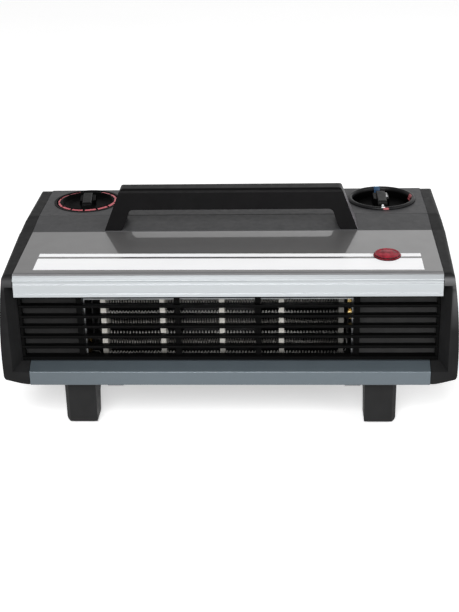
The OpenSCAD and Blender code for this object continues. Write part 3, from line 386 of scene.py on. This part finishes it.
def steatite():
    """Speckled ceramic, with painted shade low down and towards the right end."""
    f = Finish("insulator", (0.74, 0.72, 0.66), 0.62, Specular_IOR_Level=0.4)
    stops = (0.32, (0.46, 0.43, 0.38)), (0.45, (0.72, 0.70, 0.64)), (0.7, (0.80, 0.78, 0.73))
    f.paint(f.noise(0.35, 5.0, rough=0.75), *stops)
    f.rub(0.1, 3).grain(0.3, 0.03, 4.0)
    f.fade("Position", "Z", 66, 78, 0.22, 1.0).fade("Position", "X", 60, 95, 1.0, 0.22)


laminated()
wound_copper()
steatite()


def oxidised(name, dark, light, rough, size=2.5, metal=1.0):
    """Wire or brass with uneven tarnish."""
    f = Finish(name, light, rough, metal)
    f.paint(f.noise(size, 4.0), (0.3, dark), (0.65, light))
    return f.rub(0.12, size * 0.6).grain(0.3, 0.008)


# The wires have painted shade at their left bends and towards the right end, the brass on the left. The
# rear coil's darker wire is a shaded copy of the front coil's, a painted shade too.
shaded_rear_wire = oxidised("coil_wire", (0.20, 0.19, 0.18), (0.38, 0.37, 0.35), 0.36, 6.0, 0.8)
new_wire = oxidised("new_wire", (0.66, 0.65, 0.63), (0.95, 0.94, 0.91), 0.42, 6.0, 0.7)
for wire in (shaded_rear_wire, new_wire):
    wire.fade("Position", "X", -112.5, -110.5, 0.1, 1.0).fade("Position", "X", 50, 95, 1.0, 0.35)
brass = oxidised("terminal_brass", (0.50, 0.32, 0.10), (0.90, 0.68, 0.30), 0.30)
brass.fade("Position", "X", -100, 0, 0.1, 1.0)


def red_lens():
    """Red plastic, with painted shade on its steep faces."""
    f = Finish("lens_red", (0.23, 0.010, 0.022), 0.22, Specular_IOR_Level=0.16)
    f.vary(0.45, 5).rub(0.05, 2).fade("Normal", "Z", 0.45, 0.8, 0.12, 1.0).grain(1.2, 0.004)


def lamp():
    """Thin orange glass."""
    f = Finish("lamp_glass", (0.95, 0.60, 0.36), 0.05, Transmission_Weight=0.8, IOR=1.5)
    f.vary(0.1, 2).rub(0.03, 1)


red_lens()
lamp()


def print_ink(name, colour, rough, vary, level=0.3):
    """Printed ink or thin paint: nearly even, with slow changes in its sheen."""
    f = Finish(name, colour, rough, Specular_IOR_Level=level)
    f.vary(vary, 30, 1.0).rub(0.04, 12)


# Colour, roughness, strength of the patches, share of gloss
INKS = {
    # the lip's matte grey is a painted shade in place of the bright panel's lacquer
    "lip_paint": ((0.165, 0.165, 0.168), 0.6, 0.03, 0.05),
    # grey of the painted highlight along the selector grip's side
    "strip_paint": ((0.34, 0.34, 0.34), 0.35, 0.3),
    "white_ink": ((0.92, 0.92, 0.93), 0.4, 0.01, 0.12),
    "red_ink": ((0.50, 0.11, 0.13), 0.4, 0.2),
    "pink_ink": ((0.36, 0.09, 0.10), 0.4, 0.12),
    "blue_ink": ((0.010, 0.045, 0.105), 0.35, 0.12),
    # pale blue of the painted highlight on the rim over the blue mark
    "pale_ink": ((0.42, 0.58, 0.70), 0.35, 0.1),
}
for name, values in INKS.items():
    print_ink(name, *values)

# Meshes
SAME_POINT = 1e-7


def piece(name, verts, faces, finish, slot, body="housing", smooth=False):
    """A new piece from corners in millimetres."""
    mesh = bpy.data.meshes.new(name)
    mesh.from_pydata([Vector(v) * MM for v in verts], [], faces)
    bm = bmesh.new()
    bm.from_mesh(mesh)
    bmesh.ops.remove_doubles(bm, verts=bm.verts, dist=SAME_POINT)
    bmesh.ops.recalc_face_normals(bm, faces=bm.faces)
    bm.to_mesh(mesh)
    bm.free()
    if smooth:
        mesh.shade_smooth()
    mesh.materials.append(FINISHES[finish].mat)
    obj = bpy.data.objects.new(name, mesh)
    bpy.context.scene.collection.objects.link(obj)
    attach(obj, body)
    return obj


def plate(outline, low, high):
    """Corners and faces of a plate over a convex or notched outline.

    low and high turn an outline point into the lower and the upper corner.
    """
    n = len(outline)
    verts = [low(p) for p in outline] + [high(p) for p in outline]
    faces = [list(range(n - 1, -1, -1)), list(range(n, 2 * n))]
    faces += [[i, (i + 1) % n, n + (i + 1) % n, n + i] for i in range(n)]
    return verts, faces


def join(parts):
    """One list of corners and faces from several."""
    verts, faces = [], []
    for v, f in parts:
        faces += [[i + len(verts) for i in face] for face in f]
        verts += v
    return verts, faces


# Front lip of the bright panel, folded over the top of the bar
LIP_HALF = 181.6
LIP_ROOT = BAR_BACK + 1
# Depth and height of the section's corners
LIP_SECTION = [(LIP_ROOT, Z_TOP + 0.07), (3.35, Z_TOP + 0.07), (2.45, Z_TOP - 1.15),
               (2.52, Z_TOP - 1.2), (3.42, Z_TOP + 0.01), (LIP_ROOT, Z_TOP + 0.01)]
LIP = plate(LIP_SECTION, lambda p: (-LIP_HALF, fy(p[0]), p[1]), lambda p: (LIP_HALF, fy(p[0]), p[1]))
# the lip is a shaded copy of the bright panel, in painted shade
piece("panel_lip", *LIP, "lip_paint", "silver_panel")

# Printed stripes on the bright panel, notched round the lens. The depths hold at the left end.
STRIPE_LEFT, STRIPE_RIGHT = -165.7, 166.2
WIDE_FRONT, WIDE_BACK = 12.6, 36.0
THIN_FRONT, THIN_BACK = 39.9, 46.4
STRIPE_SKEW = 2.6
STRIPE_LIFT = 0.005
STRIPE_T = 0.06
LENS_CLEAR = LENS_R + 0.15
ARC_STEPS = 10
NOTCH_STEPS = 20


def on_panel(lift):
    """Turns a place and a depth into a corner a little above the bright panel."""
    return lambda p: (p[0], fy(p[1]), panel_z(p[1]) + lift)


def lens_edge(a, b, steps):
    """Points of the circle just outside the lens, from one angle to another."""
    angles = [a + (b - a) * k / steps for k in range(steps + 1)]
    return [(LENS_X + LENS_CLEAR * cos(t), LENS_D + LENS_CLEAR * sin(t)) for t in angles]


def crossing(d, side):
    """Angle at which that circle crosses a depth, on its left (-1) or its right side (1)."""
    return atan2(d - LENS_D, side * (LENS_CLEAR ** 2 - (d - LENS_D) ** 2) ** 0.5)


def lens_arc(d_from, d_to, side):
    """That circle between two depths, the short way on one of its sides."""
    a, b = crossing(d_from, side), crossing(d_to, side)
    if b - a > pi:
        b -= tau
    return lens_edge(a, b, ARC_STEPS)


def lens_notch(d):
    """The circle's front part, from its right to its left crossing with a depth."""
    a = crossing(d, 1)
    return lens_edge(a, -pi - a, NOTCH_STEPS)


def stripes():
    """Wide and thin stripe, nearer to the bar by the skew at the lens and the right end."""
    at_left = THIN_FRONT, THIN_BACK, WIDE_FRONT, WIDE_BACK
    thin0, thin1, wide0, wide1 = [d - STRIPE_SKEW for d in at_left]
    left_part = [(STRIPE_LEFT, THIN_FRONT), *lens_arc(thin0, thin1, -1), (STRIPE_LEFT, THIN_BACK)]
    right_part = [(STRIPE_RIGHT, thin1), *lens_arc(thin1, thin0, 1), (STRIPE_RIGHT, thin0)]
    wide = [(STRIPE_LEFT, WIDE_FRONT), (STRIPE_RIGHT, wide0), (STRIPE_RIGHT, wide1), *lens_notch(wide1),
            (STRIPE_LEFT, WIDE_BACK)]
    outlines = left_part, right_part, wide
    return join(plate(outline, on_panel(STRIPE_LIFT), on_panel(STRIPE_T)) for outline in outlines)


piece("white_stripes", *stripes(), "white_ink", "silver_panel")

# Dial marks
LEFT, RIGHT = (-DIAL_X, DIAL_Y), (DIAL_X, DIAL_Y)
INK_T = 0.08
PATCH_STEPS = 6


def polar(centre, r, a, z):
    return (centre[0] + r * cos(radians(a)), centre[1] + r * sin(radians(a)), z)


def round_patch(centre, a0, a1, profile):
    """Thin layer of ink on a turned surface, between two angles.

    profile holds points of a radius and a height that run outwards or upwards along the surface,
    with the open side on their left.
    """
    n = len(profile)
    lifted = []
    for i in range(n):
        p, q = Vector(profile[max(i - 1, 0)]), Vector(profile[min(i + 1, n - 1)])
        along = (q - p).normalized()
        lifted.append(Vector(profile[i]) + Vector((-along.y, along.x)) * INK_T)
    loop = [Vector(p) for p in profile] + lifted[::-1]
    verts, faces = [], []
    for k in range(PATCH_STEPS + 1):
        a = a0 + (a1 - a0) * k / PATCH_STEPS
        verts += [polar(centre, p.x, a, p.y) for p in loop]
    m = len(loop)
    for k in range(PATCH_STEPS):
        for i in range(m):
            j = (i + 1) % m
            faces.append([k * m + i, k * m + j, (k + 1) * m + j, (k + 1) * m + i])
    for base in (0, PATCH_STEPS * m):
        for i in range(n - 1):
            faces.append([base + i, base + i + 1, base + m - 2 - i, base + m - 1 - i])
    return verts, faces


# Scale ring of the thermostat
SCALE_STEPS = 12
SCALE_START = 112
SCALE_PITCH = 26.4
SCALE_GAP = 4.2
SCALE_R = 28.4
BAR_WIDTH = 1.4
BAR_GROWTH = 1.2


def ring_point(r):
    """A point on the thermostat knob's sloping scale ring."""
    return (r, RING_Z - RING_FALL * (r - RING_IN) / (RING_OUT - RING_IN))


def scale_ring():
    """Twelve bars that grow wider round the ring."""
    parts = []
    for k in range(SCALE_STEPS):
        inner = SCALE_R - BAR_WIDTH - BAR_GROWTH * k / (SCALE_STEPS - 1)
        start = SCALE_START + k * SCALE_PITCH
        a0, a1 = start + SCALE_GAP / 2, start + SCALE_PITCH - SCALE_GAP / 2
        parts.append(round_patch(LEFT, a0, a1, [ring_point(inner), ring_point(SCALE_R)]))
    return join(parts)


piece("thermostat_scale", *scale_ring(), "red_ink", "knob_plastic", "thermostat_dial")


def rim_point(a):
    """A point of the right bowl's rounded rim."""
    centre_r = DIAL_R - RIM_ROUND
    return (centre_r + RIM_ROUND * cos(radians(a)), Z_DECK + RIM_H - RIM_ROUND * (1 - sin(radians(a))))


# Stretches of the right bowl's section, from the wall inside it over the rim and down the front
RIM_INSIDE = [(26.9, 152), (27.42, 153.7), rim_point(140), rim_point(115)]
RIM_TOP = [rim_point(110), rim_point(90), rim_point(70)]
RIM_EDGE = [rim_point(75), rim_point(50)]
RIM_FRONT = [rim_point(50), rim_point(30), rim_point(10), (DIAL_R, Z_DECK + 0.5)]

# Marks of the right bowl: first and last angle, stretch of the section, ink
BOWL_MARKS = {
    "cool_mark": (89, 101, RIM_INSIDE, "blue_ink"),
    # painted highlight on the rim's top over the blue mark
    "cool_tick": (91, 98, RIM_TOP, "pale_ink"),
    "warm_mark": (1, 16, RIM_INSIDE, "pink_ink"),
    "front_mark": (-91, -82, RIM_FRONT, "pink_ink"),
    "front_tick": (-94, -88, RIM_EDGE, "white_ink"),
}
for name, (a0, a1, profile, ink) in BOWL_MARKS.items():
    piece(name, *round_patch(RIGHT, a0, a1, profile), ink, "knob_plastic")

# Strip and dots of the selector's grip. The strip and the dot at its end are painted highlights on the
# grip's side.
GRIP_SIDE = 5.5
STRIP_HALF = 0.7
STUD_SIDES = 20
STUD_HALF = 0.3
STUD_LEAN = 0.2


def strip(x, back, front, low, high):
    """Narrow bar along the grip's side, from back to front."""
    outline = [(x + STRIP_HALF, back), (x - STRIP_HALF, back), (x - STRIP_HALF, front),
               (x + STRIP_HALF, front)]
    return plate(outline, lambda p: (p[0], p[1], low), lambda p: (p[0], p[1], high))


def stud(x, y, z, r):
    """Round dot that faces forwards, on a steep face that leans back a little."""
    angles = [tau * k / STUD_SIDES for k in range(STUD_SIDES)]
    outline = [(r * cos(a), r * sin(a)) for a in angles]
    return plate(outline, lambda p: (x + p[0], y + STUD_HALF - STUD_LEAN * p[1], z + p[1]),
                 lambda p: (x + p[0], y - STUD_HALF - STUD_LEAN * p[1], z + p[1]))


def on_selector(name, shape, finish):
    """A piece drawn round the origin, moved to the selector and turning with it."""
    verts, faces = shape
    moved = [(RIGHT[0] + x, RIGHT[1] + y, z) for x, y, z in verts]
    piece(name, moved, faces, finish, "knob_plastic", "selector_dial")


on_selector("pointer_dot", stud(0, -17.4, 154.2, 1.1), "white_ink")
# painted highlight along the grip's right side, with a painted glint at its end
on_selector("selector_strip", strip(GRIP_SIDE, 15, 6.5, 154.6, 156), "strip_paint")
on_selector("selector_glint", stud(GRIP_SIDE, 5.6, 155.6, 0.9), "white_ink")

# Pilot lens
LENS_FACETS = 48
LENS_SIDE = 2.2
LENS_TOP = 2.9
LENS_ROOF = 0.6
HOLLOW_R = LENS_R - 4.4
SNAP_R = LENS_R - 2.4
SNAP_LOW = -6.0
FLANGE_LOW = 0.02
FLUTE = 0.3
PANEL_SLOPE = atan2(PANEL_RISE, PANEL_D - BAR_BACK)

# Radius and height of the section's corners: snap rim and flange, then side, groove and crown
LENS_PLAIN = [(HOLLOW_R, SNAP_LOW), (SNAP_R, SNAP_LOW), (SNAP_R, FLANGE_LOW), (LENS_R, FLANGE_LOW),
              (LENS_R, 0.8), (LENS_R - 0.4, 1.1)]
LENS_FLUTED = [(LENS_R - 0.6, 1.3), (LENS_R - 0.9, LENS_SIDE), (LENS_R - 1.5, LENS_SIDE + 0.1),
               (LENS_R - 2.1, LENS_SIDE - 0.35), (LENS_R - 4.5, LENS_SIDE + 0.3),
               (LENS_R - 7.5, LENS_TOP - 0.1)]


def lens_ring(r, h, flute=0):
    """Corners round the lens, every second one set back by the flute."""
    ring = []
    for k in range(LENS_FACETS):
        back = flute if k % 2 else 0
        a = tau * k / LENS_FACETS
        ring.append(((r - back) * cos(a), (r - back) * sin(a), h - back / 3))
    return ring


def lens():
    """Hollow lens with a snap rim, a flange, a fluted side and a low faceted crown with a groove."""
    n = LENS_FACETS
    rings = [lens_ring(r, h) for r, h in LENS_PLAIN] + [lens_ring(r, h, FLUTE) for r, h in LENS_FLUTED]
    verts = [corner for ring in rings for corner in ring]
    top = len(verts)
    last, roof, under = top - n, top + 1, top + 2
    verts += [(0, 0, LENS_TOP), (0, 0, LENS_ROOF), *lens_ring(HOLLOW_R, LENS_ROOF)]
    faces = []
    for i in range(0, last, n):
        for k in range(n):
            a, b = i + k, i + (k + 1) % n
            faces.append([a, b, b + n, a + n])
    faces += [[last + k, last + (k + 1) % n, top] for k in range(n)]
    for k in range(n):
        j = (k + 1) % n
        faces.append([j, k, under + k, under + j])
        faces.append([under + j, under + k, roof])
    turn = Matrix.Translation((LENS_X, fy(LENS_D), panel_z(LENS_D))) @ Matrix.Rotation(PANEL_SLOPE, 4, "X")
    return [tuple(turn @ Vector(v)) for v in verts], faces


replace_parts(piece("pilot_lens_fluted", *lens(), "lens_red", "lens_red"), "pilot_lens")

# Heating coils
DUCT_X0, DUCT_X1 = -126.0, 108.0
FIRST_POST = -109.0
POST_PITCH = 51.7
POSTS = [FIRST_POST + POST_PITCH * k for k in range(5)]
ROWS = [62.4, 82.0, 101.6]
ROW_SHIFT = 8.1
FRONT_COIL_D = 25
COIL_STEP = 8
COIL_R = 2.75
COIL_END = 3.0
COIL_SAG = 0.5
BEND_BULGE = 1.5
TAIL = 4
TAIL_GAP = 1.2
WIRE_R = 0.38
WIRE_SIDES = 6
FRONT_CURL = 2.8
REAR_CURL = 2.3
RINGS_PER_CURL = 10


def row_points(x_from, x_to, y, z, first, curl):
    """Centre line of one row of curls, which hangs a little between the posts."""
    turns = round(abs(x_to - x_from) / curl) + 0.5
    n = ceil(turns * RINGS_PER_CURL)
    points = []
    for k in range(n + 1):
        x = x_from + (x_to - x_from) * k / n
        a = first + tau * turns * k / n
        phase = (x - FIRST_POST) / POST_PITCH
        sag = -COIL_SAG * abs(sin(pi * phase)) if 0 < phase < len(POSTS) - 1 else 0
        points.append((x, y + COIL_R * cos(a), z + sag + COIL_R * sin(a)))
    return points


def bend_points(x, out, y, z_from, z_to):
    """Centre line of a bend that joins two rows, bulging out from x."""
    half = abs(z_to - z_from) / 2
    return [(x + out * (1 + BEND_BULGE * (1 - s * s)), y, (z_from + z_to) / 2 - (half - COIL_R) * s)
            for s in (-1, -0.5, 0, 0.5, 1)]


def coil_path(y, rows, curl):
    """Tail, three rows joined by bends, and tail."""
    low, mid, top = rows
    x0, x1 = POSTS[0] - COIL_END, POSTS[-1] + COIL_END
    path = [(DUCT_X1 - TAIL_GAP, y, top - COIL_R), (x1 + TAIL, y, top - COIL_R)]
    path += row_points(x1, x0, y, top, -pi / 2, curl)
    path += bend_points(x0, -1, y, top, mid)
    path += row_points(x0, x1, y, mid, pi / 2, curl)
    path += bend_points(x1, 1, y, mid, low)
    path += row_points(x1, x0, y, low, pi / 2, curl)
    path += [(x0 - TAIL, y, low + COIL_R), (DUCT_X0 + TAIL_GAP, y, low + COIL_R)]
    return [Vector(p) for p in path]


def tube(points, radius, sides):
    """Round wire along a line of points, with a frame carried along it."""
    n = len(points)
    along = [(points[min(i + 1, n - 1)] - points[max(i - 1, 0)]).normalized() for i in range(n)]
    across = Vector((0, 1, 0))
    verts, faces = [], []
    for i in range(n):
        across = (across - along[i] * across.dot(along[i])).normalized()
        other = along[i].cross(across)
        for k in range(sides):
            a = tau * k / sides
            verts.append(tuple(points[i] + (across * cos(a) + other * sin(a)) * radius))
    for i in range(n - 1):
        for k in range(sides):
            a, b = i * sides + k, i * sides + (k + 1) % sides
            faces.append([a, b, b + sides, a + sides])
    faces.append(list(range(sides - 1, -1, -1)))
    faces.append([(n - 1) * sides + k for k in range(sides)])
    return verts, faces


def coil(name, depth, lift, curl, finish, node):
    """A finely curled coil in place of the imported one."""
    path = coil_path(fy(depth), [z + lift for z in ROWS], curl)
    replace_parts(piece(name, *tube(path, WIRE_R, WIRE_SIDES), finish, "coil_wire", smooth=True), node)


coil("front_coil", FRONT_COIL_D, 0, FRONT_CURL, "new_wire", "front_heating_coil")
# the rear coil's darker wire is painted shade
coil("rear_coil", FRONT_COIL_D + COIL_STEP, ROW_SHIFT, REAR_CURL, "coil_wire", "rear_heating_coil")

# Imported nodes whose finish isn't the one named after their slot
OWN_FINISH = {
    "handle": "handle_plastic",
    "front_grille": "grille_plastic",
    "left_dial_bowl": "bowl_plastic",
    "right_dial_bowl": "rim_plastic",
    "thermostat_knob": "thermostat_plastic",
    "selector_knob": "selector_plastic",
    "left_baffle": "baffle_paint",
    "right_baffle": "baffle_light",
    "duct_frame": "duct_steel",
    "centre_baffle": "dark_sheet",
    "left_blower_case": "dark_sheet",
    "right_blower_case": "dark_sheet",
}

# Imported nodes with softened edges, and the width of the softening
EDGES = {
    "left_end_cap": 0.5,
    "right_end_cap": 0.5,
    "rear_deck": 0.4,
    "top_panel": 0.25,
    "trim_bar": 0.2,
    "front_grille": 0.3,
    "lower_panel": 0.4,
    "handle": 1.2,
    "left_foot": 0.6,
    "right_foot": 0.6,
    "foot_pads": 0.5,
    "front_clips": 0.3,
    "left_dial_bowl": 0.2,
    "right_dial_bowl": 0.4,
    "thermostat_knob": 0.4,
    "selector_knob": 0.5,
    "rear_cover": 0.3,
    "base_pan": 0.3,
    "insulator_posts": 0.3,
    "coil_terminals": 0.3,
}
WELD_GAP = 1e-6
FLAT_ANGLE = 0.4
EDGE_ANGLE = 32
EDGE_SEGMENTS = 2


def soften(obj, width):
    """Joins the mesh's split corners and flat faces, then rounds its sharp edges."""
    obj.modifiers.new("weld", "WELD").merge_threshold = WELD_GAP
    flat = obj.modifiers.new("flat", "DECIMATE")
    flat.decimate_type = "DISSOLVE"
    flat.angle_limit = radians(FLAT_ANGLE)
    soft = obj.modifiers.new("soft_edges", "BEVEL")
    soft.width = width * MM
    soft.segments = EDGE_SEGMENTS
    soft.limit_method = "ANGLE"
    soft.angle_limit = radians(EDGE_ANGLE)
    soft.harden_normals = True


for name, obj in NODES.items():
    obj.data.materials.clear()
    obj.data.materials.append(FINISHES[OWN_FINISH.get(name, SLOT_OF[name])].mat)
    if name in EDGES:
        soften(obj, EDGES[name])

# Floor
FLOOR_HALF = 6.0
FLOOR_Z = -0.0001
FLOOR_GLOW = 0.48
MIRRORED_GLOW = 0.28


def floor_material():
    """Pale floor that the camera and mirrors see brighter than it is lit."""
    f = Finish("studio_floor", (0.90, 0.90, 0.90), 0.9)
    f.vary(0.01, 400)
    path = f.add("ShaderNodeLightPath")
    mirrored = f.maths("MULTIPLY", path.outputs["Is Glossy Ray"], MIRRORED_GLOW)
    level = f.maths("MULTIPLY_ADD", path.outputs["Is Camera Ray"], FLOOR_GLOW, mirrored)
    glow = f.add("ShaderNodeEmission")
    f.link(level, glow.inputs["Strength"])
    total = f.add("ShaderNodeAddShader")
    f.link(f.bsdf.outputs["BSDF"], total.inputs[0])
    f.link(glow.outputs["Emission"], total.inputs[1])
    f.link(total.outputs["Shader"], f.tree.nodes["Material Output"].inputs["Surface"])
    return f.mat


floor_mesh = bpy.data.meshes.new("studio_floor")
corners = [(x * FLOOR_HALF, y * FLOOR_HALF, FLOOR_Z) for x, y in ((-1, -1), (1, -1), (1, 1), (-1, 1))]
floor_mesh.from_pydata(corners, [], [[0, 1, 2, 3]])
floor_mesh.materials.append(floor_material())
floor = bpy.data.objects.new("studio_floor", floor_mesh)
bpy.context.scene.collection.objects.link(floor)

# World
WORLD_LIGHT = 0.42
OVERHEAD = 0.45
LEFT_SIDE = 0.60


def studio_world():
    """White behind the object; mirrors see it darker overhead and towards the left."""
    world = bpy.data.worlds.new("studio")
    world.use_nodes = True
    sky = Nodes(world.node_tree)
    split = sky.add("ShaderNodeSeparateXYZ")
    sky.link(sky.add("ShaderNodeTexCoord").outputs["Generated"], split.inputs["Vector"])
    upper = sky.spread(split.outputs["Z"], 1.0, OVERHEAD, 0.5, 0.95)
    sideways = sky.spread(split.outputs["X"], LEFT_SIDE, 1.0, -0.22, 0.14)
    mirrored = sky.maths("MULTIPLY", upper, sideways)
    path = sky.add("ShaderNodeLightPath")
    level = sky.spread(path.outputs["Is Glossy Ray"], WORLD_LIGHT, mirrored, 0.0, 1.0)
    level = sky.maths("MAXIMUM", level, path.outputs["Is Camera Ray"])
    level = sky.maths("MAXIMUM", level, path.outputs["Is Transmission Ray"])
    back = sky.tree.nodes["Background"]
    back.inputs["Color"].default_value = (1, 1, 1, 1)
    sky.link(level, back.inputs["Strength"])
    return world


scene = bpy.context.scene
scene.world = studio_world()
scene.view_settings.view_transform = "Standard"

# Lamps
AIM = (0, 0, 0.08)


def softbox(name, place, size, power):
    """Rectangular lamp that points at the heater."""
    light = bpy.data.lights.new(name, "AREA")
    light.shape = "RECTANGLE"
    light.size, light.size_y = size
    light.energy = power
    obj = bpy.data.objects.new(name, light)
    obj.location = place
    obj.rotation_euler = (Vector(AIM) - Vector(place)).to_track_quat("-Z", "Y").to_euler()
    scene.collection.objects.link(obj)


softbox("key", (-0.3, -2.05, 1.8), (1.2, 1.2), 44)
softbox("fill", (1.8, -1.2, 1.2), (1.4, 1.0), 13)
softbox("front", (0.1, -2.4, 0.9), (1.0, 0.5), 14)

# Camera, with its focal length and the picture's height in pixels
FOCAL = 1193.29
PICTURE_H = 612
SENSOR = 36
CAMERA_PLACE = (0.04967, -1.03084, 0.53306)
YAW, PITCH, ROLL = 0.0514, 0.4215, -0.0239
cam = bpy.data.cameras.new("camera")
cam.sensor_width = SENSOR
cam.lens = FOCAL / PICTURE_H * SENSOR
camera = bpy.data.objects.new("camera", cam)
camera.matrix_world = (Matrix.Translation(CAMERA_PLACE) @ Matrix.Rotation(YAW, 4, "Z")
                       @ Matrix.Rotation(pi / 2 - PITCH, 4, "X") @ Matrix.Rotation(ROLL, 4, "Z"))
scene.collection.objects.link(camera)
scene.camera = camera
